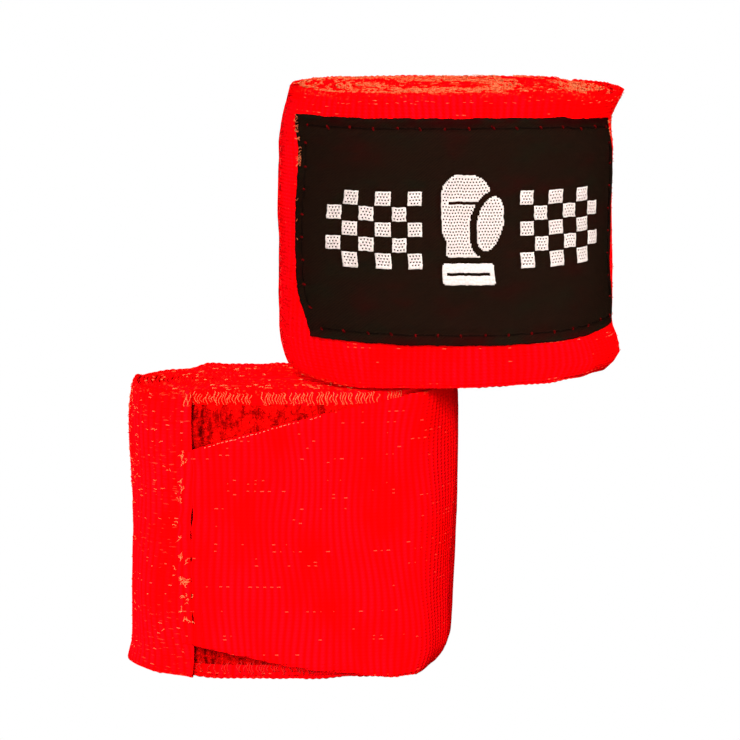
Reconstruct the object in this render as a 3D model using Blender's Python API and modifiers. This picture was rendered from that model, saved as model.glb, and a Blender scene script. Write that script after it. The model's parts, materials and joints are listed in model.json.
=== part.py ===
"""A pair of elastic boxing hand wraps, each wound into an oval roll, one standing on the other.

Each wrap is one 2.5 m band, 50 mm wide. Its thumb loop is folded in the core, the band is wound
round it, and the band's last 50 mm, the flap, tapers to a seam. Past the seam a short full-width
strap carries the hook patch inside and the woven label outside, and ends in a hemmed pull tip.
A loop patch is sewn to the band one turn before the seam, under the flap.

Every roll is modelled in its own frame: label towards -Y, band edges at z = 0 and z = BAND_W,
wound clockwise seen from above towards the outer end. The lower roll is turned half round, so
its seam faces -Y. Lengths are in metres.

The oval is a parallel curve: an ellipse offset along its normal. A place on it is given by theta,
the direction of its outward normal, and by its offset from the ellipse. Along the flap and strap,
s is the length past the seam, negative on the flap. A lift is measured outwards from the coil's
outer face, to a piece's inner face unless said otherwise.
"""
import math
from typing import NamedTuple

import bmesh
import bpy
import numpy as np
from mathutils import Matrix, Vector

MM = 0.001
TURN = 2 * math.pi
PAIR = "hand_wrap_pair"

# ---- band and rolls -----------------------------------------------------------------------
BAND_W = 50.0 * MM              # full width of the band
BAND_T = 0.38 * MM              # band as wound, under tension
STRAP_T = 0.60 * MM             # band at rest, as in the flap and the strap
BAND_LEN = 2500.0 * MM          # core end to seam
STACK_GAP = 0.40 * MM           # between the two rolls
PITCH_RANGE = (0.30 * MM, 0.90 * MM)     # the coil's pitch is sought in here

ROLLS = {                       # half axes of the ellipse, offsets of the coil's two faces
    "lower": dict(half_x=13.5 * MM, half_y=1.0 * MM, outer=13.1 * MM, inner=2.3 * MM),
    "upper": dict(half_x=8.5 * MM, half_y=1.0 * MM, outer=18.6 * MM, inner=2.4 * MM),
}
PLACES = {                      # location, turn about Z
    "lower": ((-12.656 * MM, -5.7 * MM, 0.0), math.pi),
    "upper": ((12.424 * MM, 0.3 * MM, BAND_W + STACK_GAP), 0.0),
}
QUARTER_STATIONS = (22.5, 45.0, 67.5, 86.5)    # degrees, mirrored into all four quarters
END_MARGIN = math.radians(6)    # no station nearer than this to either end of the coil
COIL_END_LIFT = 2.0 * MM        # where the joint gap is turned into an angle

# ---- seam ---------------------------------------------------------------------------------
LOWER_SEAM_X = 18.0 * MM        # on the +Y side of the lower roll's own frame
LOWER_SEAM_RANGE = (math.radians(5), math.radians(90))
UPPER_FACE_S = 52.0 * MM        # this point of the upper strap stands at UPPER_FACE_THETA,
UPPER_FACE_THETA = math.radians(-86)     # just right of the middle of the front

# ---- flap ---------------------------------------------------------------------------------
JOINT_GAP = 0.20 * MM           # each side of a hinge line
FLAP_LEN = 50.0 * MM            # tapered last stretch of the band
FLAP_RAMP = 12.0 * MM           # where it climbs from the coil onto the patches
FLAP_START = -0.22 * MM         # lift at the ramp's foot
FLAP_LIFT = 1.80 * MM           # lift past the ramp, and the strap's
TAPER_LEN = 42.0 * MM           # last stretch before the seam, where both edges close in
TOP_DROP, TOP_POWER = 9.9 * MM, 1.3      # top edge falls this far at the seam
BASE_RISE, BASE_POWER = 6.2 * MM, 1.6    # bottom edge rises this far at the seam
HEM_S = (-38.0 * MM, -3.2 * MM)          # hem stitching along both edges
HEM_INSET = 1.6 * MM
SEAM_THREAD_S, SEAM_THREAD_INSET = -1.6 * MM, 1.5 * MM

# ---- strap and patches --------------------------------------------------------------------
ROOT_END = 12.0 * MM            # strap: root, labelled panel, pull tip
PANEL_END = 86.0 * MM
TIP_END = 92.0 * MM
LABEL_S, LABEL_Z = (22.5 * MM, 84.5 * MM), (7.6 * MM, 46.4 * MM)
LABEL_T, LABEL_LIFT = 0.40 * MM, 2.60 * MM
HOOK_S, HOOK_Z = (23.0 * MM, 81.0 * MM), (8.0 * MM, 46.0 * MM)
HOOK_T, HOOK_LIFT = 1.10 * MM, 0.35 * MM
LOOP_FROM_SEAM = (174.0 * MM, 137.0 * MM)      # back along the band
LOOP_Z = (2.2 * MM, BAND_W - 2.2 * MM)
LOOP_T, LOOP_LIFT = 0.90 * MM, 0.30 * MM

# ---- stitching ----------------------------------------------------------------------------
THREAD_R = 0.15 * MM
THREAD_STANDOFF = 0.10 * MM + THREAD_R         # cloth face to the thread's middle
LABEL_INSET = 2.0 * MM          # from all four edges
LOOP_INSET_Z = 1.5 * MM
LOOP_INSET = 0.04               # from each end, as a share of the patch's length
TIP_THREAD_S, TIP_THREAD_INSET = TIP_END - 2.2 * MM, 2.0 * MM

# ---- thumb loop ---------------------------------------------------------------------------
THUMB_W = 20.0 * MM             # tape, folded double in the core
THUMB_T = 0.60 * MM
THUMB_HALF = 7.8 * MM           # half length of the fold's straight legs
THUMB_LEG = 1.20 * MM           # legs' distance from the core's middle
THUMB_OPEN = 0.62 * MM          # wall centre to fold centre
TACK_X, TACK_LEN = -2.0 * MM, 3.0 * MM
TACK_H = THUMB_W - 4 * MM
TACK_FILL = 0.4                 # share of the room between the loop and the coil


class Look(NamedTuple):
    colour: tuple
    roughness: float


THREAD_RED = (0.55, 0.02, 0.02, 1.0)
PATCH_RED = (0.30, 0.006, 0.006, 1.0)
CLOTH = Look(colour=(0.80, 0.004, 0.010, 1.0), roughness=0.85)
CORE_CLOTH = Look(colour=(0.60, 0.004, 0.008, 1.0), roughness=0.85)
LOOP_PILE = Look(colour=PATCH_RED, roughness=0.95)
HOOK_PILE = Look(colour=PATCH_RED, roughness=0.9)
THREAD = Look(colour=THREAD_RED, roughness=0.6)
TACK_THREAD = Look(colour=THREAD_RED, roughness=0.7)
LABEL_BLACK = Look(colour=(0.010, 0.007, 0.006, 1.0), roughness=0.6)


# ---- number helpers -----------------------------------------------------------------------
def spaced(low, high, count):
    """count + 1 even steps from low to high."""
    return [low + (high - low) * i / count for i in range(count + 1)]


def bisect(too_low, low, high):
    for _ in range(60):
        middle = (low + high) / 2
        if too_low(middle):
            low = middle
        else:
            high = middle
    return (low + high) / 2


def running_length(rate, angle):
    """Arc length at each angle, by the trapezium rule."""
    return np.concatenate([[0.0], np.cumsum((rate[1:] + rate[:-1]) / 2 * np.diff(angle))])


# ---- the oval and what is wound on it -----------------------------------------------------
class Roll:
    """Angles and arc lengths of one roll."""

    def __init__(self, name, half_x, half_y, outer, inner):
        self.name = name
        self.half_x, self.half_y = half_x, half_y
        self.outer, self.inner = outer, inner
        self.seam = self.find_seam()
        self.strap_table = self.arc_table(self.seam, turns=2)
        self.end = self.theta(-FLAP_LEN)         # theta of the coil's outer end
        self.pitch = bisect(lambda pitch: self.wound_length(pitch) > BAND_LEN - FLAP_LEN,
                            *PITCH_RANGE)
        self.start = self.end + (outer - inner) / self.pitch * TURN    # theta of the core end

    def part(self, name):
        return f"{self.name}_{name}"

    def point(self, theta, offset):
        reach = math.hypot(self.half_x * math.cos(theta), self.half_y * math.sin(theta))
        return ((self.half_x ** 2 / reach + offset) * math.cos(theta),
                (self.half_y ** 2 / reach + offset) * math.sin(theta))

    def arc_rate(self, theta, offset):
        """Arc length per radian of theta."""
        reach = np.hypot(self.half_x * np.cos(theta), self.half_y * np.sin(theta))
        return offset + (self.half_x * self.half_y) ** 2 / reach ** 3

    def arc_table(self, theta0, turns):
        """Length along the strap's inner face, zero at theta0 and rising clockwise, and -theta.
        It reaches this many turns each way."""
        minus_theta = np.linspace(-turns, turns, 20001) * TURN - theta0
        length = running_length(self.arc_rate(-minus_theta, self.outer + FLAP_LIFT), minus_theta)
        length -= np.interp(-theta0, minus_theta, length)
        return length, minus_theta

    def find_seam(self):
        if self.name == "lower":
            seam_offset = self.outer + FLAP_LIFT
            return bisect(lambda theta: self.point(theta, seam_offset)[0] > LOWER_SEAM_X,
                          *LOWER_SEAM_RANGE)
        return -float(np.interp(-UPPER_FACE_S, *self.arc_table(UPPER_FACE_THETA, turns=1)))

    def theta(self, s):
        return -float(np.interp(s, *self.strap_table))

    def on_strap(self, s, lift):
        return self.point(self.theta(s), self.outer + lift)

    def coil_offset(self, theta):
        """Offset of the coil's outer face; theta grows past a full turn towards the core."""
        return self.outer - self.pitch * (theta - self.end) / TURN

    def wound_length(self, pitch):
        """Length of the coil's middle surface when wound at this pitch."""
        back = np.linspace(0, (self.outer - self.inner) / pitch * TURN, 40001)
        offset = self.outer - BAND_T / 2 - pitch * back / TURN
        return running_length(self.arc_rate(self.end + back, offset), back)[-1]

    def band_theta(self, from_seam):
        """Theta on the coil at this distance from the seam."""
        back = np.linspace(0, 2.2 * TURN, 8001)
        rate = self.arc_rate(self.end + back, self.coil_offset(self.end + back))
        return self.end + float(np.interp(from_seam - FLAP_LEN, running_length(rate, back), back))


def flap_lift(s):
    """Lift of the flap's inner face, eased up the ramp."""
    u = min(max((s + FLAP_LEN) / FLAP_RAMP, 0.0), 1.0)
    return FLAP_START + (FLAP_LIFT - FLAP_START) * u * u * (3 - 2 * u)


def flap_edges(s):
    """Bottom and top edge heights along the flap."""
    u = min(max((s + TAPER_LEN) / TAPER_LEN, 0.0), 1.0)
    return BASE_RISE * u ** BASE_POWER, BAND_W - TOP_DROP * u ** TOP_POWER


# ---- makers -------------------------------------------------------------------------------
def empty(name, parent, location, turn=0.0):
    obj = bpy.data.objects.new(name, None)
    bpy.context.scene.collection.objects.link(obj)
    obj.empty_display_size = 5 * MM
    obj.parent = parent
    obj.location = location
    obj.rotation_euler = (0, 0, turn)
    return obj


def finish(obj, parent, look, location=(0, 0, 0)):
    """Gives the object its own material, its parent and its place."""
    mat = bpy.data.materials.new(obj.name)
    mat.use_nodes = True
    inputs = mat.node_tree.nodes["Principled BSDF"].inputs
    inputs["Base Color"].default_value = look.colour
    inputs["Roughness"].default_value = look.roughness
    inputs["Metallic"].default_value = 0.0
    obj.data.materials.append(mat)
    obj.parent = parent
    obj.location = location
    bpy.data.collections[PAIR].objects.link(obj)


def solidify(obj, thickness):
    mod = obj.modifiers.new("thickness", "SOLIDIFY")
    mod.thickness = thickness
    mod.offset = 0.0
    mod.use_even_offset = True


def poly_curve(name, dimensions, points, closed):
    curve = bpy.data.curves.new(name, "CURVE")
    curve.dimensions = dimensions
    spline = curve.splines.new("POLY")
    spline.points.add(len(points) - 1)
    for spline_point, co in zip(spline.points, points):
        spline_point.co = (*co, 1)
    spline.use_cyclic_u = closed
    return curve


def ribbon(name, path, height, thickness, closed=False):
    """A tape on edge: a flat path extruded up and down, then given thickness either side."""
    curve = poly_curve(name, "2D", [(x, y, 0) for x, y in path], closed)
    curve.fill_mode = "NONE"
    curve.extrude = height / 2
    obj = bpy.data.objects.new(name, curve)
    solidify(obj, thickness)
    return obj


def thread(name, points, closed=False):
    """A stitch line as a round thread."""
    curve = poly_curve(name, "3D", points, closed)
    curve.bevel_depth = THREAD_R
    curve.bevel_resolution = 1
    curve.use_fill_caps = not closed
    curve.render_resolution_u = 0
    return bpy.data.objects.new(name, curve)


def sheet(name, point, s_range, edges, segments, thickness):
    """A cloth panel: a grid laid on the roll at its middle surface, then given thickness.
    point(s) gives x, y; edges(s) gives the bottom and top heights."""
    mesh = bpy.data.meshes.new(name)
    bm = bmesh.new()
    bmesh.ops.create_grid(bm, x_segments=segments[0], y_segments=segments[1], size=1.0)
    for v in bm.verts:
        s = s_range[0] + (s_range[1] - s_range[0]) * (v.co.x + 1) / 2
        low, high = edges(s)
        x, y = point(s)
        v.co = Vector((x, y, low + (high - low) * (v.co.y + 1) / 2))
    bm.to_mesh(mesh)
    bm.free()
    obj = bpy.data.objects.new(name, mesh)
    solidify(obj, thickness)
    return obj


def upright(point, s, low, high):
    """Points of a stitch line that runs up the cloth at s."""
    return [(*point(s), height) for height in spaced(low, high, 8)]


def outline(point, stations, low, high):
    """Points of a stitch line round a patch: along the bottom and back along the top."""
    return ([(*point(s), low) for s in stations]
            + [(*point(s), high) for s in reversed(stations)])


# ---- coil and core ------------------------------------------------------------------------
def build_coil(roll, base):
    """The wound band, from the core to the flap."""
    last = roll.end + JOINT_GAP / (roll.outer + COIL_END_LIFT)
    stations = {a for q in QUARTER_STATIONS for a in (q, 180 - q, 180 + q, 360 - q)} | {0.0, 180.0}
    turns = range(math.floor(last / TURN), math.ceil(roll.start / TURN) + 1)
    between = [math.radians(a) + k * TURN for k in turns for a in stations]
    inside = [t for t in between if last + END_MARGIN < t < roll.start - END_MARGIN]
    thetas = [roll.start] + sorted(inside, reverse=True) + [last]
    path = [roll.point(t, roll.coil_offset(t) - BAND_T / 2) for t in thetas]
    finish(ribbon(roll.part("band_coil"), path, BAND_W, BAND_T), base, CLOTH, (0, 0, BAND_W / 2))


def thumb_path():
    """Centre line of the thumb loop's wall: a flattened ring folded in half like a U. The fold's
    spine runs along y = +THUMB_LEG, round the +X end and back along y = -THUMB_LEG; the wall
    stands off it by THUMB_OPEN. Rounded caps close the two -X ends."""
    def wave(degrees):
        return math.sin(math.radians(degrees)), math.cos(math.radians(degrees))

    def cap(leg_y):
        return [(-THUMB_HALF - THUMB_OPEN * sin, leg_y - THUMB_OPEN * cos)
                for sin, cos in map(wave, (45, 90, 135))]

    # x, y, and the outward normal's x, y
    spine = [(x, THUMB_LEG, 0.0, 1.0) for x in spaced(-THUMB_HALF, THUMB_HALF, 5)]
    spine += [(THUMB_HALF + THUMB_LEG * sin, THUMB_LEG * cos, sin, cos)
              for sin, cos in map(wave, (30, 60, 90, 120, 150))]
    spine += [(x, -THUMB_LEG, 0.0, -1.0) for x in spaced(THUMB_HALF, -THUMB_HALF, 5)]
    outer = [(x + nx * THUMB_OPEN, y + ny * THUMB_OPEN) for x, y, nx, ny in spine]
    inner = [(x - nx * THUMB_OPEN, y - ny * THUMB_OPEN) for x, y, nx, ny in reversed(spine)]
    return outer + cap(-THUMB_LEG) + inner + cap(THUMB_LEG)


def build_thumb_loop(roll, base):
    loop = ribbon(roll.part("thumb_loop"), thumb_path(), THUMB_W, THUMB_T, closed=True)
    finish(loop, base, CORE_CLOTH, (0, 0, BAND_W / 2))


def build_thumb_tack(roll, base):
    """The bar tack that joins the loop to the band's start, midway between the two."""
    wall_y = THUMB_LEG + THUMB_OPEN + THUMB_T / 2
    coil_y = roll.point(math.radians(QUARTER_STATIONS[-1]), roll.inner - BAND_T)[1]
    size = (TACK_LEN, TACK_FILL * (coil_y - wall_y), TACK_H)
    mesh = bpy.data.meshes.new(roll.part("thumb_tack"))
    bm = bmesh.new()
    bmesh.ops.create_cube(bm, size=1.0, matrix=Matrix.Diagonal((*size, 1.0)))
    bm.to_mesh(mesh)
    bm.free()
    tack = bpy.data.objects.new(mesh.name, mesh)
    finish(tack, base, TACK_THREAD, (TACK_X, (wall_y + coil_y) / 2, BAND_W / 2))


def build_loop_patch(roll, base):
    """Loop patch on the coil's outer turn, and its stitch line."""
    first, last = (roll.band_theta(distance) for distance in LOOP_FROM_SEAM)

    def surface(lift):
        def point(u):
            theta = first + (last - first) * u
            return roll.point(theta, roll.coil_offset(theta) + lift)
        return point

    patch = sheet(roll.part("loop_patch"), surface(LOOP_LIFT + LOOP_T / 2), (0.0, 1.0),
                  lambda u: LOOP_Z, (16, 1), LOOP_T)
    finish(patch, base, LOOP_PILE)
    points = outline(surface(LOOP_LIFT + LOOP_T + THREAD_STANDOFF),
                     spaced(LOOP_INSET, 1 - LOOP_INSET, 14),
                     LOOP_Z[0] + LOOP_INSET_Z, LOOP_Z[1] - LOOP_INSET_Z)
    finish(thread(roll.part("loop_patch_thread"), points, closed=True), base, THREAD)


# ---- flap and strap -----------------------------------------------------------------------
class Hinges:
    """A chain of pivots, each the next one's parent, on the outer face at each joint's middle."""

    def __init__(self, roll, base):
        joints = (               # body, s, lift of its inner face
            ("flap", -FLAP_LEN, FLAP_START),
            ("strap_root", 0.0, FLAP_LIFT),
            ("strap_panel", ROOT_END, FLAP_LIFT),
            ("strap_tip", PANEL_END, FLAP_LIFT),
        )
        self.pivots = {}
        parent, parent_at = base, Vector((0, 0, 0))
        for body, s, lift in joints:
            at = Vector((*roll.on_strap(s, lift + STRAP_T), 0.0))
            parent = empty(roll.part(body + "_pivot"), parent, at - parent_at)
            parent_at = at
            self.pivots[body] = parent, at

    def hang(self, obj, body, look):
        """Hangs a piece, drawn in the roll's frame, on its body's pivot."""
        pivot, at = self.pivots[body]
        obj.data.transform(Matrix.Translation(-at))
        finish(obj, pivot, look)


def build_flap(roll, hinges):
    """The band's tapered end, over the loop patch, with its hem and seam stitching."""
    def middle(s):
        return roll.on_strap(s, flap_lift(s) + STRAP_T / 2)

    def stitch(s):
        return roll.on_strap(s, flap_lift(s) + STRAP_T + THREAD_STANDOFF)

    flap = sheet(roll.part("flap"), middle, (-FLAP_LEN + JOINT_GAP / 2, -JOINT_GAP),
                 flap_edges, (30, 2), STRAP_T)
    hinges.hang(flap, "flap", CLOTH)
    for part, edge, inset in (("flap_top_thread", 1, -HEM_INSET),
                              ("flap_bottom_thread", 0, HEM_INSET)):
        points = [(*stitch(s), flap_edges(s)[edge] + inset) for s in spaced(*HEM_S, 14)]
        hinges.hang(thread(roll.part(part), points), "flap", THREAD)
    low, high = flap_edges(SEAM_THREAD_S)
    points = upright(stitch, SEAM_THREAD_S, low + SEAM_THREAD_INSET, high - SEAM_THREAD_INSET)
    hinges.hang(thread(roll.part("seam_thread"), points), "flap", THREAD)


def build_strap(roll, hinges):
    """Root, panel with hook patch and label, and pull tip."""
    full = (0.0, BAND_W)
    root_s = (JOINT_GAP, ROOT_END - JOINT_GAP)
    panel_s = (ROOT_END + JOINT_GAP, PANEL_END - JOINT_GAP)
    tip_s = (PANEL_END + JOINT_GAP, TIP_END)
    pieces = (                   # part, body, s range, heights, segments along, lift, thickness
        ("strap_root", "strap_root", root_s, full, 8, FLAP_LIFT, STRAP_T, CLOTH),
        ("strap_panel", "strap_panel", panel_s, full, 36, FLAP_LIFT, STRAP_T, CLOTH),
        ("hook_patch", "strap_panel", HOOK_S, HOOK_Z, 30, HOOK_LIFT, HOOK_T, HOOK_PILE),
        ("label", "strap_panel", LABEL_S, LABEL_Z, 30, LABEL_LIFT, LABEL_T, LABEL_BLACK),
        ("strap_tip", "strap_tip", tip_s, full, 4, FLAP_LIFT, STRAP_T, CLOTH),
    )
    for part, body, s_range, heights, along, lift, thickness, look in pieces:
        piece = sheet(roll.part(part), lambda s: roll.on_strap(s, lift + thickness / 2),
                      s_range, lambda s: heights, (along, 1), thickness)
        hinges.hang(piece, body, look)


def build_strap_threads(roll, hinges):
    """Stitching round the label and across the pull tip."""
    points = outline(lambda s: roll.on_strap(s, LABEL_LIFT + LABEL_T + THREAD_STANDOFF),
                     spaced(LABEL_S[0] + LABEL_INSET, LABEL_S[1] - LABEL_INSET, 24),
                     LABEL_Z[0] + LABEL_INSET, LABEL_Z[1] - LABEL_INSET)
    hinges.hang(thread(roll.part("label_thread"), points, closed=True), "strap_panel", THREAD)
    points = upright(lambda s: roll.on_strap(s, FLAP_LIFT + STRAP_T + THREAD_STANDOFF),
                     TIP_THREAD_S, TIP_THREAD_INSET, BAND_W - TIP_THREAD_INSET)
    hinges.hang(thread(roll.part("tip_thread"), points), "strap_tip", THREAD)


def build_roll(name, pair):
    roll = Roll(name, **ROLLS[name])
    base = empty(roll.part("roll"), pair, *PLACES[name])
    for build in (build_coil, build_thumb_loop, build_thumb_tack, build_loop_patch):
        build(roll, base)
    hinges = Hinges(roll, base)
    for build in (build_flap, build_strap, build_strap_threads):
        build(roll, hinges)


def main():
    for obj in list(bpy.data.objects):
        bpy.data.objects.remove(obj)
    bpy.context.scene.collection.children.link(bpy.data.collections.new(PAIR))
    pair = empty(PAIR, None, (0, 0, 0))
    for name in ROLLS:
        build_roll(name, pair)


main()
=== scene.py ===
"""Looks of a pair of wound elastic hand wraps: cloth, label, patches and stitching.

The two rolls are stacked along +z with their axes upright. The upper roll's label and the lower
roll's flap face -y. On each closure a point is given by its distance along the strap from the
seam (the flap is negative, the strap positive), its height z above the roll's base, and its lift
above the coil's outer face. Lengths are in mm and become metres in Roll.world.
"""
import json
import math

import bmesh
import bpy
import numpy as np
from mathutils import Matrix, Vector


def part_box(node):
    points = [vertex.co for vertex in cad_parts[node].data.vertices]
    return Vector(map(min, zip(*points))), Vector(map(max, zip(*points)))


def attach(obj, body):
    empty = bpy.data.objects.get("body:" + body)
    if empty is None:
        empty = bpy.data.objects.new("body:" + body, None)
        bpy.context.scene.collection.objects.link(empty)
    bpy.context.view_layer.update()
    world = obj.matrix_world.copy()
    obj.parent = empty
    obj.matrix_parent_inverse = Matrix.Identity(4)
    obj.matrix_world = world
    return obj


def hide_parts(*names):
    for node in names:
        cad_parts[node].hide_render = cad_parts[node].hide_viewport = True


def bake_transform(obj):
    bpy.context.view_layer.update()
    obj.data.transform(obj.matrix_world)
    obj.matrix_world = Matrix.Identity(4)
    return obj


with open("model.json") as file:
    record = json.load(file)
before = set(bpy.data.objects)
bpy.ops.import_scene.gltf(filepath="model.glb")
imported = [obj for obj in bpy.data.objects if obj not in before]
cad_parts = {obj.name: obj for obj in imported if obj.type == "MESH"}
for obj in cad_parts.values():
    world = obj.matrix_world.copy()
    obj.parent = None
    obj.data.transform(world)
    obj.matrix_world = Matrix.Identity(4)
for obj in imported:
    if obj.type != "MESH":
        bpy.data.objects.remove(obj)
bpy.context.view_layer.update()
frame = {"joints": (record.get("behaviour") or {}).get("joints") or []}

MM = 0.001
TURN = 2 * math.pi
WIDTH = 50.0                    # of the band
MIDDLE = WIDTH / 2
BAND_LENGTH = 2450.0
RIB = 1.15                      # between ribs of the elastic cloth
COURSE = 0.62                   # between the knit's courses
STEP = 0.19                     # mesh step along a cloth strip
FLAP_LENGTH = 50.0
STRAP_LIFT = 1.8                # the strap's inner face
STRAP_MIDDLE = 2.4              # a lift within the strap, where blends and the hinge lie
HINGE = 12.0                    # the panel's hinge along the strap
PANEL = (9.2, 83.6)             # the strap panel's ends
LOOP_PATCH = (87.0, 124.0)      # inward from the flap's start, along the coil
LOOP_PATCH_Z = (2.4, 47.6)
LABEL_LENGTH = 62.0
LABEL_Z = (7.7, 46.3)
LABEL_HEIGHT = LABEL_Z[1] - LABEL_Z[0]

JOINTS = {joint["name"]: joint for joint in frame["joints"]}
LOOKS = bpy.data.collections.new("hand_wrap_pair_looks")
bpy.context.scene.collection.children.link(LOOKS)
SIDES = {}
for side in ("lower", "upper"):
    SIDES[side] = bpy.data.collections.new(side + "_roll_looks")
    LOOKS.children.link(SIDES[side])


# ---------------------------------------------------------------------------------------------
# numbers
# ---------------------------------------------------------------------------------------------
def smooth(x, start, end):
    part = np.clip((np.asarray(x, float) - start) / (end - start), 0, 1)
    return part * part * (3 - 2 * part)


def bump(x, centre, width):
    return np.exp(-((x - centre) / width) ** 2)


def wobble(x, seed, period, octaves=3):
    """Smooth repeatable noise of one variable, about -1..1."""
    rng = np.random.default_rng(seed)
    x = np.asarray(x, float)
    out, size, total = np.zeros_like(x), 1.0, 0.0
    for k in range(octaves):
        rate = TURN / (period / 1.9 ** k)
        out = out + size * (np.sin(x * rate * rng.uniform(0.8, 1.2) + rng.uniform(0, TURN))
                            + np.sin(x * rate * rng.uniform(0.5, 0.8) + rng.uniform(0, TURN))) / 2
        total += size
        size *= 0.6
    return out / total * 1.3


def wobble_2d(x, y, seed, period_x, period_y, octaves=3):
    """Smooth repeatable noise of two variables, about -1..1."""
    rng = np.random.default_rng(seed)
    x, y = np.asarray(x, float), np.asarray(y, float)
    out, size, total = 0.0, 1.0, 0.0
    for k in range(octaves):
        for _ in range(3):
            rate_x = TURN / period_x * 1.8 ** k * rng.uniform(-1.2, 1.2)
            rate_y = TURN / period_y * 1.8 ** k * rng.uniform(0.5, 1.2)
            out = out + size * np.sin(x * rate_x + y * rate_y + rng.uniform(0, TURN)) / 3
        total += size
        size *= 0.6
    return out / total * 1.8


def bisect(is_low, low, high, steps):
    for _ in range(steps):
        middle = (low + high) / 2
        if is_low(middle):
            low = middle
        else:
            high = middle
    return (low + high) / 2


def running_length(rates, steps):
    return np.concatenate([[0], np.cumsum((rates[1:] + rates[:-1]) / 2 * steps)])


def span(count):
    return np.linspace(-0.5, 0.5, count)


def arch(part):
    """A stitch's rise for parts -0.5..0.5 of its length."""
    return np.cos(part * np.pi)


# ---------------------------------------------------------------------------------------------
# the soft shape laid over the plain ovals
# ---------------------------------------------------------------------------------------------
# Sideways shift of the +x end and the -x end at each height.
SHIFT_Z = (-2, 0, 1.2, 3.5, 6, 8.5, 14, 30, 36, 40, 43, 45.5, 48, 50, 52.0)
END_SHIFTS = {
    "upper": ((-1.0, -0.3, 0.95, 2.15, 1.55, 0.5, 0.4, 0.2, 0.3, 0.45, 0.1, 0.15, 1.35, 2.35, 2.8),
              (2.1, 1.9, 0.8, 0.0, -0.65, -1.1, -1.3, -1.25, -0.95, -0.95, -0.85, -0.35, 0.25,
               0.7, 0.8)),
    "lower": ((-3.4, -2.8, -1.9, -0.45, -0.25, -0.2, -0.1, 0.8, 0.95, 1.0, 1.0, 0.95, 0.85, 0.7,
               0.5),
              (-1.1, -1.0, -0.7, -0.2, -0.1, -0.1, -0.1, 0.15, 0.1, -0.2, -0.35, -0.35, -0.1,
               0.3, 0.5)),
}


def upper_rims(x, y, z):
    """Height after the upper roll's two rims are lifted unevenly."""
    base = np.clip(1 - z / 9, 0, 1) ** 1.5
    top = smooth(z, 33, 50)
    z = z + base * (0.25 + 0.35 * smooth(x, 3, 9) + 0.35 * smooth(x, 17, 21)
                    + 0.28 * smooth(x, 23.5, 26) - 0.25 * smooth(x, 26.5, 28.5)
                    + 1.1 * smooth(-x, 17, 29.5))
    return z + top * (0.40 * smooth(y, -6, 16) + 0.40 * smooth(-x, 19, 28.5)
                      - 0.50 * smooth(x, 19, 22.5))


def lower_rims(x, y, z):
    base = np.clip(1 - z / 8, 0, 1) ** 1.5
    top = smooth(z, 36, 50)
    z = z + base * (0.85 * smooth(x, 14, 28) + 0.5 * smooth(-x, 16, 20)
                    + 0.45 * smooth(-x, 18, 23) + 0.55 * smooth(-x, 23, 29) - 0.10
                    - 0.36 * (1 - smooth(x, 2, 9)) * (1 - smooth(-x, 14.5, 17.5)))
    return z + top * (0.25 * smooth(-x, 23, 28.5) * smooth(-y, -9, 2)
                      - 0.95 * smooth(-x, 16, 20) * smooth(y, 3, 9)
                      + 0.25 * smooth(-x, 12, 15) * smooth(y, 3, 9))


def blunt_end(x, y, half_axis=13.5):
    """The lower roll's -x end: a squarer curve than the half circle."""
    past, aside = -(x + half_axis), np.abs(y)
    reach = np.hypot(past, aside) + 1e-9
    cosine, sine = np.clip(past / reach, 0, 1), aside / reach
    gain = (cosine ** 3 + sine ** 3) ** (-1 / 3)
    gain = 1 + (gain - 1) * 0.85 * smooth(past, 0.0, 5.0)
    return np.where(past > 0, -half_axis - past * gain, x), np.where(past > 0, y * gain, y)


def sculpt(name, x, y, z):
    """Rims that flare, corners that round off and a slightly uneven outline.
    x and y are from the roll's centre along the world axes, z from its base."""
    depth, right_from = (22.0, (10, 28)) if name == "upper" else (16.5, (16, 29))
    outward = smooth(np.hypot(x / 29.0, y / depth), 0.25, 0.9)
    angle = np.arctan2(y / depth, x / 29.0)
    left = smooth(-x, 10, 28)
    if name == "lower":
        x, y = blunt_end(x, y)
    right_shift, left_shift = END_SHIFTS[name]
    shift = (np.interp(z, SHIFT_Z, right_shift) * smooth(x, *right_from)
             + np.interp(z, SHIFT_Z, left_shift) * left)
    z = (upper_rims if name == "upper" else lower_rims)(x, y, z)
    x = x + shift + outward * 0.22 * wobble_2d(angle * 9, z, 21, 9.0, 38.0, 2)
    y = y + outward * 0.22 * np.sin(angle) * wobble_2d(angle * 9, z, 22, 9.0, 60.0, 2)
    return x, y, z


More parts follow.
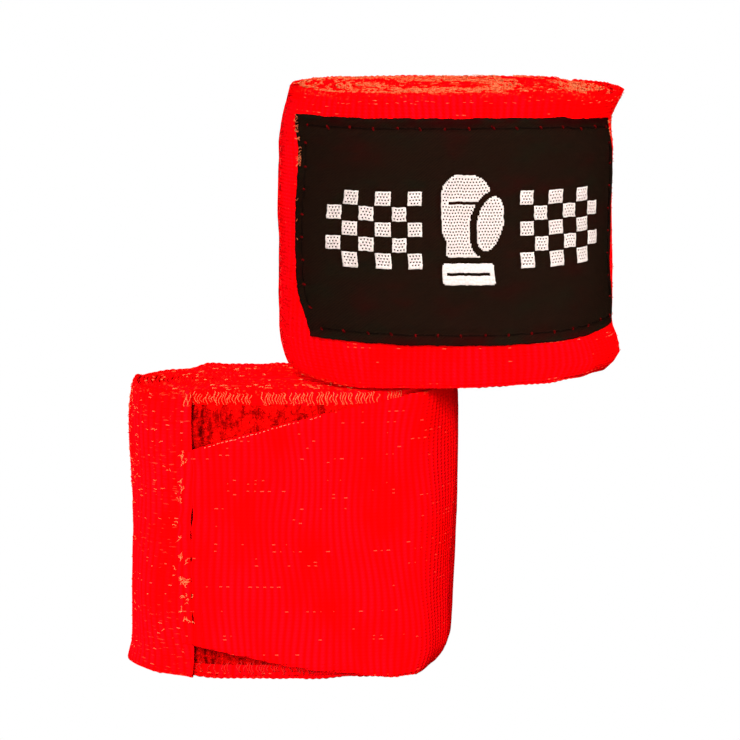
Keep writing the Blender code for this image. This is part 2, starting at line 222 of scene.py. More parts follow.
# ---------------------------------------------------------------------------------------------
# the two rolls: parallel curves of an ellipse
# ---------------------------------------------------------------------------------------------
class Roll:
    """half_x, half_y: the ellipse's half axes. outer, inner: the coil's offsets from it.
    swell: how far the outer turns relax outward at one end. slack: how loosely the flap's start
    lies. rank: steps the random seeds."""

    def __init__(self, name, half_x, outer, inner, yaw, swell, slack, tip_end, rank):
        self.name, self.half_x, self.half_y = name, half_x, 1.0
        self.outer, self.inner, self.max_swell = outer, inner, swell
        self.slack, self.tip_end, self.rank = slack, tip_end, rank
        self.is_upper = name == "upper"
        self.cos, self.sin = math.cos(yaw), math.sin(yaw)
        self.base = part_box(name + "_band_coil")[0].z / MM
        seam = self.find_seam()
        angles = seam - np.linspace(-2, 2, 40001) * TURN
        length = running_length(self.rate(angles, outer + STRAP_LIFT), angles[:-1] - angles[1:])
        self.strap_length = length - np.interp(-seam, -angles, length)
        self.strap_angle = angles
        # the panel's hinge gives the roll's centre
        hinge = JOINTS[name + "_closure_open"]["pos_m"]
        x, y = self.oval(self.angle(HINGE), outer + STRAP_MIDDLE)
        self.centre_x = hinge[0] / MM - (self.cos * x - self.sin * y)
        self.centre_y = hinge[1] / MM - (self.sin * x + self.cos * y)
        # angle wound inward from the flap's start, and the band's length over it
        self.start = float(self.angle(-FLAP_LENGTH))
        self.pitch = bisect(self.winds_too_much, 0.3, 0.9, 40)
        self.wind = np.linspace(0, (outer - inner) / self.pitch * TURN, 60001)
        rates = self.rate(self.start + self.wind, outer - self.pitch * self.wind / TURN)
        self.wind_length = running_length(rates, np.diff(self.wind))

    def find_seam(self):
        if not self.is_upper:               # where the strap passes x = 18 in the roll's own frame
            return bisect(lambda angle: self.oval(angle, self.outer + STRAP_LIFT)[0] > 18.0,
                          math.radians(5), math.radians(90), 60)
        origin, seam_distance = math.radians(-86), 52.0
        angles = origin + np.linspace(-1, 1, 40001) * math.pi
        length = running_length(self.rate(angles, self.outer + STRAP_LIFT), np.diff(angles))
        length -= np.interp(origin, angles, length)
        return float(np.interp(seam_distance, length, angles))

    def winds_too_much(self, pitch):
        wind = np.linspace(0, (self.outer - self.inner) / pitch * TURN, 20001)
        band_centre = self.outer - 0.19 - pitch * wind / TURN
        rates = self.rate(self.start + wind, band_centre)
        return running_length(rates, np.diff(wind))[-1] > BAND_LENGTH

    def rate(self, angle, offset):
        """Length of the parallel curve per radian."""
        reach = np.hypot(self.half_x * np.cos(angle), self.half_y * np.sin(angle))
        return offset + self.half_x ** 2 * self.half_y ** 2 / reach ** 3

    def oval(self, angle, offset, half_y=None):
        half_y = self.half_y if half_y is None else half_y
        reach = np.hypot(self.half_x * np.cos(angle), half_y * np.sin(angle))
        return ((self.half_x ** 2 / reach + offset) * np.cos(angle),
                (half_y * half_y / reach + offset) * np.sin(angle))

    def angle(self, along):
        return np.interp(along, self.strap_length, self.strap_angle)

    def world(self, x, y, z):
        """World metres from the roll's own turned frame in mm, z from its base."""
        x, y, z = np.broadcast_arrays(np.asarray(x, float), y, z)
        x, y, z = sculpt(self.name, self.cos * x - self.sin * y, self.sin * x + self.cos * y, z)
        return np.stack([x + self.centre_x, y + self.centre_y, z + self.base], -1) * MM

    def swell(self, angle, turn):
        """The outer turns relax outward where the strap bends round the roll's end."""
        return self.max_swell * smooth(np.cos(angle), 0.10, 0.70) * np.clip(1 - turn / 8.0, 0, 1)

    def point(self, along, z, lift):
        """Point on the closure, along the strap from the seam."""
        x, y = self.oval(self.angle(along), self.outer + lift)
        return self.world(x, y, z)

    def coil_point(self, along, z, lift):
        """Point on the coil, along the band inward from the flap's start."""
        wind = np.interp(along, self.wind_length, self.wind)
        angle, turn = self.start + wind, wind / TURN
        offset = self.outer - self.pitch * turn + self.swell(angle, turn) + lift
        x, y = self.oval(angle, offset)
        return self.world(x, y, z)


LOWER = Roll("lower", half_x=13.5, outer=13.1, inner=2.3, yaw=math.pi, swell=1.60, slack=0.55,
             tip_end=89.0, rank=1)
UPPER = Roll("upper", half_x=8.5, outer=18.6, inner=2.4, yaw=0.0, swell=0.0, slack=0.25,
             tip_end=92.0, rank=0)


# ---------------------------------------------------------------------------------------------
# pieces on the frame: parented to a body, or with their transform baked
# ---------------------------------------------------------------------------------------------
def bends(start, end):
    """Meant for a piece between two parts. start and end are (along, z, lift) on the closure; the
    points are worked out but not used, and the piece only has its transform baked.
    """
    def tell(roll, ob):
        tuple(roll.point(*start))
        tuple(roll.point(*end))
        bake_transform(ob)
    return tell


at_flap_start = bends((-FLAP_LENGTH, MIDDLE, 0.4), (-41, MIDDLE, 1.6))
at_seam = bends((-1.2, MIDDLE, STRAP_MIDDLE), (1.0, MIDDLE, STRAP_MIDDLE))
at_tip = bends((83.8, MIDDLE, STRAP_MIDDLE), (88.2, MIDDLE, STRAP_MIDDLE))


def at_hinge(roll, ob, half=2.7, spare=0.3):
    """A fold line at the closure's hinge is sought. The strap curls back round the roll, so the
    line is turned until all of the panel past it stays beyond its end;
    the line found is not used, and the piece only has its transform baked."""
    centre = roll.point(HINGE, MIDDLE, STRAP_MIDDLE)
    forward = (roll.point(HINGE + 0.5, MIDDLE, STRAP_MIDDLE)
               - roll.point(HINGE - 0.5, MIDDLE, STRAP_MIDDLE))
    straight = math.atan2(forward[1], forward[0])
    scale = np.linalg.norm(forward)                     # metres per mm of strap
    panel = np.linspace(HINGE + half + 2.0, 84.0, 160)
    beyond = np.concatenate([roll.point(panel, MIDDLE, lift) for lift in (0.4, 1.8, 3.4)])
    beyond = beyond[:, :2] - centre[:2]
    best_room = -math.inf
    for degrees in (sign * k for k in range(46) for sign in (1, -1)):
        angle = straight + math.radians(degrees)
        heading = np.array([math.cos(angle), math.sin(angle)])
        room = float((beyond @ heading).min()) / scale
        if room > best_room + 1e-6:
            best_room, best = room, heading
        if best_room > half + spare:
            break
    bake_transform(ob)


def finish(roll, ob, moves, replaces=None):
    """moves is the part the piece rides on, or one of the functions above, which bake the piece's
    transform.
    """
    if replaces:
        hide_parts(f"{roll.name}_{replaces}")
    if callable(moves):
        moves(roll, ob)
    else:
        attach(ob, f"{roll.name}_{moves}")


# ---------------------------------------------------------------------------------------------
# meshes
# ---------------------------------------------------------------------------------------------
def build(name, verts, faces, uv, mat, flat=False):
    """verts (n, 3); faces: list of (m, k) index arrays; uv (n, 2) per vertex."""
    volume = 0.0                            # positive when the faces look outward
    for face in faces:
        for k in range(1, face.shape[1] - 1):
            area = np.cross(verts[face[:, k]], verts[face[:, k + 1]])
            volume += float(np.einsum("ij,ij->i", verts[face[:, 0]], area).sum())
    if volume < 0:
        faces = [face[:, ::-1] for face in faces]
    corners = np.concatenate([face.ravel() for face in faces])
    sizes = np.concatenate([np.full(len(face), face.shape[1]) for face in faces])
    starts = np.concatenate([[0], np.cumsum(sizes)[:-1]])
    mesh = bpy.data.meshes.new(name)
    mesh.vertices.add(len(verts))
    mesh.loops.add(len(corners))
    mesh.polygons.add(len(sizes))
    mesh.vertices.foreach_set("co", verts.astype(np.float32).ravel())
    mesh.loops.foreach_set("vertex_index", corners.astype(np.int32))
    mesh.polygons.foreach_set("loop_start", starts.astype(np.int32))
    layer = mesh.uv_layers.new(name="cloth")
    layer.data.foreach_set("uv", uv[corners].astype(np.float32).ravel())
    mesh.update(calc_edges=True)
    mesh.validate()
    if not flat:
        mesh.shade_smooth()
    ob = bpy.data.objects.new(name, mesh)
    SIDES[name.split("_")[0]].objects.link(ob)
    mesh.materials.append(mat)
    return ob


def loft(name, rings, uv, mat, closed=False):
    """rings (n, K, 3), each a closed cross-section; its halves mirror, so the caps are quads."""
    count, size = rings.shape[:2]
    i = np.arange(count if closed else count - 1)[:, None]
    j = np.arange(size)[None, :]
    here, there = i * size, (i + 1) % count * size
    after = (j + 1) % size
    faces = [np.stack([here + j, here + after, there + after, there + j], -1).reshape(-1, 4)]
    if not closed:
        k = np.arange(size // 2 - 1)
        cap = np.stack([k, k + 1, size - 2 - k, size - 1 - k], -1)
        faces += [cap[:, ::-1], cap + (count - 1) * size]
    return build(name, rings.reshape(-1, 3), faces, uv.reshape(-1, 2), mat)


def tubes(roll, name, paths, radius, mat, moves, sides=5, replaces=None,
          taper=1.0):
    """Many equal tubes in one mesh. paths (n, m, 3) in metres, radius in mm."""
    paths = np.asarray(paths, float)
    number, count = paths.shape[:2]
    tangent = np.gradient(paths, axis=1)
    tangent /= np.linalg.norm(tangent, axis=2, keepdims=True) + 1e-12
    steep = np.abs(tangent[..., 2:3]) > 0.8
    reference = np.where(steep, np.array([1.0, 0.3, 0.0]), np.array([0.0, 0.2, 1.0]))
    reference = np.broadcast_to(reference[:, count // 2:count // 2 + 1], tangent.shape)
    aside = np.cross(reference, tangent)
    aside /= np.linalg.norm(aside, axis=2, keepdims=True) + 1e-12
    above = np.cross(tangent, aside)
    angle = (np.arange(sides) * TURN / sides)[:, None]
    size = (radius * MM * np.ones(count) * taper)[:, None, None]
    rings = paths[:, :, None] + size * (aside[:, :, None] * np.cos(angle)
                                        + above[:, :, None] * np.sin(angle))
    first = (np.arange(number) * count * sides)[:, None, None]
    i, j = np.arange(count - 1)[None, :, None], np.arange(sides)[None, None, :]
    near, far = first + i * sides + j, first + i * sides + (j + 1) % sides
    cap = first[:, 0] + np.arange(sides)[None, :]
    faces = [np.stack([near, far, far + sides, near + sides], -1).reshape(-1, 4),
             cap[:, ::-1], cap + (count - 1) * sides]
    uv = np.zeros((number, count, sides, 2))
    uv[..., 0] = np.arange(count)[:, None] * 0.5
    uv[..., 1] = np.arange(sides) / sides
    ob = build(f"{roll.name}_{name}", rings.reshape(-1, 3), faces, uv.reshape(-1, 2), mat)
    finish(roll, ob, moves, replaces)


def around(face, back=None, top=None, bottom=None):
    """Values round a cross-section: up its face, over the top, down its back, under the base."""
    back = face if back is None else back
    top = (face[:, -1] + back[:, -1]) / 2 if top is None else top
    bottom = (face[:, 0] + back[:, 0]) / 2 if bottom is None else bottom
    return np.concatenate([face, top[:, None], back[:, ::-1], bottom[:, None]], 1)


def spread(low, high, rows, crowding=1.0):
    """Heights from low to high at each station, set by crowding towards or off the edges."""
    part = np.linspace(0, 1, rows)
    part = 0.5 - 0.5 * np.sign(1 - 2 * part) * np.abs(1 - 2 * part) ** crowding
    return low[:, None] + (high - low)[:, None] * part[None, :]


def sheet(name, mat, place, along, z, face, back, rounding):
    """A plain sheet whose two long edges stand out by rounding."""
    all_z = around(z, top=z[:, -1] + rounding, bottom=z[:, 0] - rounding)
    all_along = around(along)
    uv = np.stack([all_along, all_z], -1)
    return loft(name, place(all_along, all_z, around(face, back)), uv, mat)


def edge_bead(along, seed, size=0.16):
    """Looped edge of the band: one small bead on each rib."""
    return size * np.abs(np.sin(np.pi * along / RIB)) + 0.10 * wobble(along, seed, 7.0)


def strip(roll, name, mat, along, low, high, inner, outer, rows, seed, moves, replaces=None,
          rib=0.075, place=None, uv_start=0.0, hem=0.0, bend=None):
    """A ribbed cloth strip. inner and outer give its faces' lifts for arrays (along, z)."""
    z = spread(low, high, rows, crowding=1.25)
    grid = np.broadcast_to(along[:, None], z.shape)
    phase = grid + 0.9 * wobble_2d(grid, z, seed, 34.0, 46.0, 2)
    ridge = np.cos(TURN * phase / RIB)
    relief = rib * ridge + 0.03 * wobble_2d(grid, z, seed + 5, 2.3, 1.6, 2)
    inset = np.minimum(z - low[:, None], high[:, None] - z)
    hemming = hem * (1 - smooth(inset, 1.6, 2.6)) * smooth(inset, -0.2, 0.5)
    face = outer(grid, z) + relief * smooth(inset, 0.0, 0.8) + hemming
    back = inner(grid, z) - 0.5 * rib * ridge
    top = high + edge_bead(along + uv_start, seed + 1)
    bottom = low - edge_bead(along + uv_start, seed + 2)
    all_z = around(z, top=top, bottom=bottom)
    all_along = np.broadcast_to(along[:, None], all_z.shape)
    if bend:
        all_along = bend(all_along, all_z)
    rings = (place or roll.point)(all_along, all_z, around(face, back))
    uv = np.stack([around(phase) + uv_start, all_z], -1)
    ob = loft(f"{roll.name}_{name}", rings, uv, mat)
    finish(roll, ob, moves, replaces)


def stations(start, end):
    return np.linspace(start, end, int((end - start) / STEP) + 1)


# ---------------------------------------------------------------------------------------------
# materials
# ---------------------------------------------------------------------------------------------
class Shader:
    """Short way to write a material's nodes. along and across are the cloth UVs, in mm."""

    def __init__(self, name, has_uv=True):
        self.mat = bpy.data.materials.new(name)
        self.mat.use_nodes = True
        self.tree = self.mat.node_tree
        if has_uv:
            self.uv = self.node("ShaderNodeUVMap", uv_map="cloth").outputs[0]
            split = self.node("ShaderNodeSeparateXYZ")
            self.put(split.inputs[0], self.uv)
            self.along, self.across = split.outputs[0], split.outputs[1]

    def node(self, kind, **props):
        node = self.tree.nodes.new(kind)
        for key, value in props.items():
            setattr(node, key, value)
        return node

    def put(self, socket, value):
        if isinstance(value, bpy.types.NodeSocket):
            self.tree.links.new(value, socket)
        else:
            socket.default_value = value

    def math(self, operation, *values):
        node = self.node("ShaderNodeMath", operation=operation)
        for k, value in enumerate((*values, 0.0, 0.0)[:3]):
            self.put(node.inputs[k], value)
        return node.outputs[0]

    def mul(self, first, second):
        return self.math("MULTIPLY", first, second)

    def mul_add(self, first, second, third):
        return self.math("MULTIPLY_ADD", first, second, third)

    def wave(self, value, period, kind="SINE"):
        return self.math(kind, self.mul(value, TURN / period))

    def from_middle(self, value):
        return self.math("ABSOLUTE", self.math("SUBTRACT", value, 0.5))

    def xyz(self, *values):
        node = self.node("ShaderNodeCombineXYZ")
        for k, value in enumerate((*values, 0.0)[:3]):
            self.put(node.inputs[k], value)
        return node.outputs[0]

    def noise(self, vector, scale=1.0, detail=2.0, rough=0.5):
        node = self.node("ShaderNodeTexNoise")
        node.inputs["Scale"].default_value = scale
        node.inputs["Detail"].default_value = detail
        node.inputs["Roughness"].default_value = rough
        self.put(node.inputs["Vector"], vector)
        return node.outputs["Fac"]

    def cloth_noise(self, along, across, offset=0.0, detail=2.0, rough=0.5):
        """Noise stretched by its rates per mm along and across the cloth."""
        vector = self.xyz(self.mul(self.along, along), self.mul(self.across, across), offset)
        return self.noise(vector, detail=detail, rough=rough)

    def object_noise(self, scale):
        return self.noise(self.node("ShaderNodeTexCoord").outputs["Object"], scale)

    def random(self, *values):
        node = self.node("ShaderNodeTexWhiteNoise", noise_dimensions="3D")
        self.put(node.inputs["Vector"], self.xyz(*values))
        return node.outputs["Value"]

    def ramp(self, value, start, end):
        node = self.node("ShaderNodeMapRange", interpolation_type="SMOOTHSTEP", clamp=True)
        self.put(node.inputs["Value"], value)
        node.inputs["From Min"].default_value = start
        node.inputs["From Max"].default_value = end
        return node.outputs["Result"]

    def mix(self, factor, first, second):
        node = self.node("ShaderNodeMix", data_type="RGBA")
        self.put(node.inputs["Factor"], factor)
        for k, colour in ((6, first), (7, second)):
            self.put(node.inputs[k], (*colour, 1.0) if isinstance(colour, tuple) else colour)
        return node.outputs[2]

    def done(self, colour, roughness, height, strength, distance, specular=0.0, sheen=0.0,
             tint=(1, 1, 1)):
        surface = self.tree.nodes["Principled BSDF"]
        relief = self.node("ShaderNodeBump")
        self.put(relief.inputs["Strength"], strength)
        self.put(relief.inputs["Distance"], distance)
        self.put(relief.inputs["Height"], height)
        for key, value in (("Base Color", colour), ("Roughness", roughness),
                           ("Specular IOR Level", specular), ("Sheen Weight", sheen),
                           ("Sheen Roughness", 0.5), ("Sheen Tint", (*tint, 1)),
                           ("Normal", relief.outputs[0])):
            self.put(surface.inputs[key], value)
        return self.mat


def cloth(name, red=(0.80, 0.0004, 0.0006), dashes=0.5, dash_mix=1.0, edge=0.2, weft=0.0):
    """Elastic ribbed cloth. dashes: how many light dashes, dash_mix: how strong they are;
    edge, weft: strength of the frayed edges and of the coarse cross rows."""
    pink, slub_red = (0.84, 0.0010, 0.0046), (0.36, 0.0002, 0.0003)
    dash_colour = (0.90, 0.085, 0.042)
    gap_red, yarn_orange = (0.20, 0.0002, 0.0002), (0.85, 0.060, 0.026)
    dark_tan, light_tan = (0.62, 0.080, 0.018), (0.74, 0.145, 0.045)
    g = Shader(name)
    # ribs: pinker on their crests
    crest = g.mul_add(g.wave(g.along, RIB, "COSINE"), 0.5, 0.5)
    soft = g.cloth_noise(along=0.12, across=0.05, detail=3.0, rough=0.6)
    base = g.mix(g.mul(crest, g.ramp(soft, start=0.30, end=0.62)), red, pink)
    # slubs and worn yarn, a little darker
    slub = g.cloth_noise(along=2.2, across=0.25)
    base = g.mix(g.mul(g.ramp(slub, start=0.60, end=0.82), 0.30), base, slub_red)
    # short weft floats: light dashes on some ribs, in loose rows
    rib_place = g.math("DIVIDE", g.along, RIB)
    row_place = g.math("DIVIDE", g.across, COURSE)
    rib, row = g.math("FLOOR", rib_place), g.math("FLOOR", row_place)
    chance, row_chance = g.random(rib, row, 3.0), g.random(0.0, row, 7.0)
    clump = g.noise(g.xyz(g.mul(rib, 0.11), g.mul(row, 0.10)))
    density = g.mul(g.ramp(row_chance, start=0.45, end=1.0), g.ramp(clump, start=0.38, end=0.66))
    chosen = g.math("GREATER_THAN", g.math("ADD", chance, g.mul(density, dashes)), 1.0)
    size = g.random(rib, row, 11.0)
    on_rib = g.math("LESS_THAN", g.from_middle(g.math("FRACT", rib_place)),
                    g.mul_add(size, 0.22, 0.06))
    on_row = g.math("LESS_THAN", g.from_middle(g.math("FRACT", row_place)), 0.11)
    dash = g.mul(chosen, g.mul(on_rib, on_row))
    base = g.mix(g.mul(dash, g.mul_add(size, 0.6 * dash_mix, 0.30 * dash_mix)), base, dash_colour)
    if weft:
        # dark gaps and light yarns between the ribs, fading out where the tip starts to bend
        rows = g.cloth_noise(along=0.55, across=2.6, offset=4.0)
        zone = g.cloth_noise(along=0.04, across=0.09, offset=9.0)
        zone = g.mul(zone, g.ramp(g.along, start=98.0, end=84.0))
        gap = g.mul(g.ramp(rows, start=0.585, end=0.64), g.ramp(zone, start=0.40, end=0.60))
        base = g.mix(g.mul(gap, weft), base, gap_red)
        yarn = g.mul(g.ramp(rows, start=0.350, end=0.315), g.ramp(zone, start=0.44, end=0.60))
        base = g.mix(g.mul(yarn, 0.5 * weft), base, yarn_orange)
    # edges: bare elastic and frayed yarn, tan flecks
    from_edge = g.math("MINIMUM", g.across, g.math("SUBTRACT", WIDTH, g.across))
    speckle = g.cloth_noise(along=1.9, across=1.9, offset=g.mul(g.along, 0.013), detail=3.0,
                            rough=0.65)
    drift = g.noise(g.xyz(g.mul(g.along, 0.06), 0.0, g.mul(g.along, 0.0021)))
    frayed = g.mul(g.ramp(from_edge, start=0.9, end=0.15),
                   g.ramp(g.mul_add(drift, 0.55, speckle), start=0.86, end=0.93))
    tan = g.mix(g.random(rib, 5.0, 1.0), dark_tan, light_tan)
    base = g.mix(g.mul(frayed, edge), base, tan)
    # knit relief: fine courses across the ribs, and fuzz
    course = g.wave(g.across, COURSE)
    wale = g.math("COSINE", g.mul(g.along, TURN * 2 / RIB))
    fuzz = g.noise(g.uv, scale=5.0, detail=4.0, rough=0.7)
    height = g.mul_add(course, g.mul_add(wale, 0.3, 0.5), g.mul(fuzz, 1.3))
    return g.done(base, roughness=0.95, height=height, strength=0.55, distance=0.00012,
                  sheen=0.12, tint=(1.0, 0.003, 0.004))


def thread(name, dark, light, specular=0.15):
    g = Shader(name)
    twist = g.math("SINE", g.math("ADD", g.mul(g.along, 9.0), g.mul(g.across, TURN)))
    colour = g.mix(g.ramp(g.object_noise(2600.0), start=0.35, end=0.65), dark, light)
    return g.done(colour, roughness=0.7, height=twist, strength=0.5, distance=0.00005,
                  specular=specular)


def pile(name):
    """Brushed loop pile, creased where the strap's end presses on it; the creases get painted
    shade, a very dark red along each.
    """
    shade, red = (0.15, 0.0002, 0.0002), (0.50, 0.0007, 0.0007)
    streak_red, tip_red = (0.66, 0.0012, 0.0010), (0.76, 0.0050, 0.0026)
    crease_painted_shade = (0.030, 0.0, 0.0)
    g = Shader(name)
    blot = g.cloth_noise(along=0.55, across=0.32, detail=4.0, rough=0.6)
    fine = g.noise(g.uv, scale=3.2, detail=3.0, rough=0.7)
    streak = g.cloth_noise(along=2.6, across=0.5, offset=2.0, detail=3.0, rough=0.6)
    colour = g.mix(g.ramp(blot, start=0.36, end=0.62), shade, red)
    colour = g.mix(g.mul(g.ramp(streak, start=0.50, end=0.68), 0.7), colour, streak_red)
    colour = g.mix(g.ramp(fine, start=0.50, end=0.80), colour, tip_red)
    wander = g.noise(g.xyz(0.0, g.mul(g.across, 0.22)))
    wander = g.mul(g.math("SUBTRACT", wander, 0.5), 1.6)
    # painted shade: a very dark red drawn along three creases near the strap's end
    for place, strength in ((88.5, 0.85), (90.0, 0.8), (91.2, 0.5)):
        bent = g.math("ADD", g.along, wander)
        away = g.math("ABSOLUTE", g.math("SUBTRACT", bent, place))
        broken = g.ramp(g.noise(g.xyz(place, g.mul(g.across, 0.9))), start=0.36, end=0.52)
        crease = g.mul(g.mul(g.ramp(away, start=0.34, end=0.10), broken), strength)
        colour = g.mix(crease, colour, crease_painted_shade)
    return g.done(colour, roughness=1.0, height=fine, strength=0.8, distance=0.0003, sheen=0.15,
                  tint=(1.0, 0.006, 0.004))


def woven_label(name):
    """Near-black twill: fine diagonal lines, with a slow change of tone."""
    valley, ridge = (0.0030, 0.0019, 0.0011), (0.0098, 0.0036, 0.0021)
    warm, green = (0.0110, 0.0017, 0.0013), (0.0036, 0.0040, 0.0020)
    nap_brown, rim_red = (0.0165, 0.0078, 0.0042), (0.0135, 0.0012, 0.0010)
    g = Shader(name)
    diagonal = g.wave(g.math("ADD", g.along, g.mul(g.across, 1.25)), 0.62)
    fine = g.wave(g.across, 0.24)
    tone = g.cloth_noise(along=0.10, across=0.16, detail=3.0, rough=0.6)
    colour = g.mix(g.mul_add(diagonal, 0.45, 0.45), valley, ridge)
    colour = g.mix(g.mul(g.ramp(tone, start=0.50, end=0.75), 0.8), colour, warm)
    colour = g.mix(g.mul(g.ramp(tone, start=0.48, end=0.28), 0.6), colour, green)
    nap = g.noise(g.uv, scale=5.5, detail=3.0, rough=0.7)
    colour = g.mix(g.mul(g.ramp(nap, start=0.50, end=0.66), 0.55), colour, nap_brown)
    from_edge = g.math("MINIMUM", g.math("SUBTRACT", g.across, 7.6),
                       g.math("SUBTRACT", 46.4, g.across))
    rim = g.mul(g.ramp(from_edge, start=2.6, end=0.6), g.ramp(tone, start=0.35, end=0.6))
    colour = g.mix(rim, colour, rim_red)
    height = g.math("ADD", g.mul(diagonal, 0.6), g.mul(fine, 0.5))
    return g.done(colour, roughness=0.9, height=height, strength=0.35, distance=0.00006)


def light_yarn(name):
    g = Shader(name)
    row = g.wave(g.across, 0.265)
    tone = g.ramp(g.noise(g.uv, scale=2.5), start=0.35, end=0.7)
    colour = g.mix(tone, (0.46, 0.375, 0.345), (0.56, 0.475, 0.44))
    return g.done(colour, roughness=0.8, height=row, strength=0.3, distance=0.00005,
                  specular=0.1)


def nylon(name):
    g = Shader(name, has_uv=False)
    grain = g.object_noise(900.0)
    colour = g.mix(g.ramp(grain, start=0.3, end=0.7), (0.22, 0.002, 0.002), (0.42, 0.006, 0.005))
    return g.done(colour, roughness=0.45, height=grain, strength=0.2, distance=0.0001,
                  specular=0.4)


COIL_CLOTH = {"upper": cloth("band_cloth", edge=0.30), "lower": cloth("band_cloth_b", edge=0.16)}
STRAP_CLOTH = cloth("strap_cloth", dashes=0.52, edge=0.30, weft=0.60)
FLAP_CLOTH = cloth("flap_cloth", dashes=0.56, dash_mix=0.62)
TAPE_CLOTH = cloth("tape_cloth", red=(0.55, 0.0004, 0.0006))
LOOP_PILE = pile("loop_pile")
LABEL = woven_label("woven_label")
MOTIF = light_yarn("woven_motif")
RED = thread("red_thread", (0.42, 0.0015, 0.0015), (0.66, 0.0080, 0.0060))
BAND_RED = thread("band_thread", (0.70, 0.0004, 0.0006), (0.82, 0.0010, 0.0030), specular=0.0)
DARK = thread("dark_red_thread", (0.030, 0.0004, 0.0006), (0.100, 0.0008, 0.0011), specular=0.0)
BLACK = thread("black_thread", (0.0022, 0.0012, 0.0008), (0.0052, 0.0026, 0.0018), specular=0.0)
ORANGE = thread("orange_thread", (0.72, 0.055, 0.018), (0.80, 0.160, 0.060))
TAN = thread("tan_elastic", (0.60, 0.085, 0.022), (0.72, 0.185, 0.070))
CURL = thread("band_edge_elastic", (0.56, 0.050, 0.015), (0.72, 0.180, 0.068), specular=0.0)
LIGHT = thread("light_thread", (0.78, 0.150, 0.075), (0.82, 0.340, 0.220))
NYLON = nylon("nylon_hooks")


# ---------------------------------------------------------------------------------------------
# the coil
# ---------------------------------------------------------------------------------------------
def wound_band(roll):
    """The coil's inner turns. Its edges are beaded, every turn stands a little high or low, and
    round the core the turns close in above and below the thumb loop."""
    first = np.interp(TURN, roll.wind, roll.wind_length)
    along = np.arange(first, roll.wind_length[-1], RIB / 2)
    wind = np.interp(along, roll.wind_length, roll.wind)
    angle, turn = roll.start + wind, wind / TURN
    thickness = 0.86 * roll.pitch
    seed = 300 + 100 * roll.rank
    top = (0.30 * wobble(turn * 6.0 + 0.35 * np.cos(angle), seed + 1, 7.0)
           + 0.22 * wobble(along, seed + 2, 46.0) - 0.12)
    base = 0.16 * wobble(turn * 6.0, seed + 3, 7.0) + 0.12
    if not roll.is_upper:
        top = top * 0.45 - 0.02
    rows = np.array([0, 0.9, 3.5, 8, 13, 37, 42, 46.5, 49.1, WIDTH])
    z = np.broadcast_to(rows, (len(along), len(rows))).copy()
    z += top[:, None] * np.array([0, 0, 0, 0, 0, 0, 0, 0.5, 1, 1])
    z[:, :2] += base[:, None]
    top_z = z[:, -1] + edge_bead(along, seed + 4, 0.22)
    base_z = z[:, 0] - edge_bead(along, seed + 5, 0.14)
    if roll.is_upper:
        base_z = np.maximum(base_z, 0.0)
    # close the core above z 37 and below z 13
    offset = roll.outer - roll.pitch * turn
    pinch = 1 - smooth(np.minimum(z, WIDTH - z), 3, 12)
    outward = ((offset - roll.inner) / (roll.outer - roll.pitch - roll.inner))[:, None]
    pinched = offset[:, None] - pinch * ((roll.inner - 0.45) * (1 - outward))
    half_y = roll.half_y - pinch * (roll.half_y - 0.30) * (1 - outward) ** 1.5
    place = angle[:, None]
    uneven = wobble_2d(place * 6.0 + turn[:, None] * 3, z, seed + 6, 11.0, 30.0, 2)
    face = pinched + 0.05 * uneven * (1 - 0.6 * outward) + roll.swell(angle, turn)[:, None]
    outer_x, outer_y = roll.oval(place, face, half_y)
    inner_x, inner_y = roll.oval(place, face - thickness, half_y)
    all_z = around(z, top=top_z, bottom=base_z)
    rings = roll.world(around(outer_x, inner_x), around(outer_y, inner_y), all_z)
    all_along = np.broadcast_to(along[:, None], all_z.shape)
    uv = np.stack([all_along, np.clip(all_z, 0, WIDTH)], -1)
    ob = loft(roll.name + "_wound_band", rings, uv, COIL_CLOTH[roll.name])
    finish(roll, ob, "roll", replaces="band_coil")


def edge_curls(roll):
    """Elastic yarn that loops out of the band's edges, lying in curls over the turns."""
    rng = np.random.default_rng(700 + roll.rank)
    size_scale, sink = (1.0, 1.0) if roll.is_upper else (0.8, 0.3)
    part = span(7)
    for edge, count in (("top", 1350 if roll.is_upper else 95), ("base", 260)):
        last = roll.wind_length[-1]
        along = rng.uniform(last * 0.02, last * 0.985, count * 6)
        wind = np.interp(along, roll.wind_length, roll.wind)
        inward = wind / roll.wind[-1]
        # curls gather in drifts: some stretches carry many, others few
        across = np.cos(roll.start + wind)
        drift = (wobble_2d(inward * 40, across * 6, 703 + roll.rank, 7.0, 9.0, 2)
                 + 0.25 * np.cos((roll.start + wind) * 2))
        wanted = (0.12 + 0.88 * smooth(drift, -0.25, 0.35)) * smooth(inward, 0.02, 0.12)
        picked = np.nonzero(rng.uniform(0, 1, len(along)) < wanted)[0][:count]
        shape = (len(picked), 1)
        size = rng.uniform(0.45, 1.25, shape) * size_scale
        phase, turns = rng.uniform(0, TURN, shape), rng.uniform(0.7, 1.4, shape)
        wave = part * TURN * turns + phase
        aside = 0.20 * np.sin(wave) + rng.uniform(-0.22, 0.22, shape)
        curl = along[picked][:, None] + part * size + 0.12 * np.cos(wave * 2)
        wind = np.interp(curl, roll.wind_length, roll.wind)
        rise = 0.06 + 0.13 * np.abs(np.cos(wave)) + rng.uniform(-0.04, 0.10, shape)
        turn = wind / TURN
        offset = (roll.outer - roll.pitch * turn - 0.2 + aside
                  + roll.swell(roll.start + wind, turn)
                  - (roll.inner - 0.45) * (wind / roll.wind[-1]) ** 2)
        x, y = roll.oval(roll.start + wind, offset)
        z = WIDTH + rise if edge == "top" else 0.10 - rise * sink
        tubes(roll, f"edge_curls_{edge}", roll.world(x, y, z), 0.065, CURL, "roll",
              sides=4)


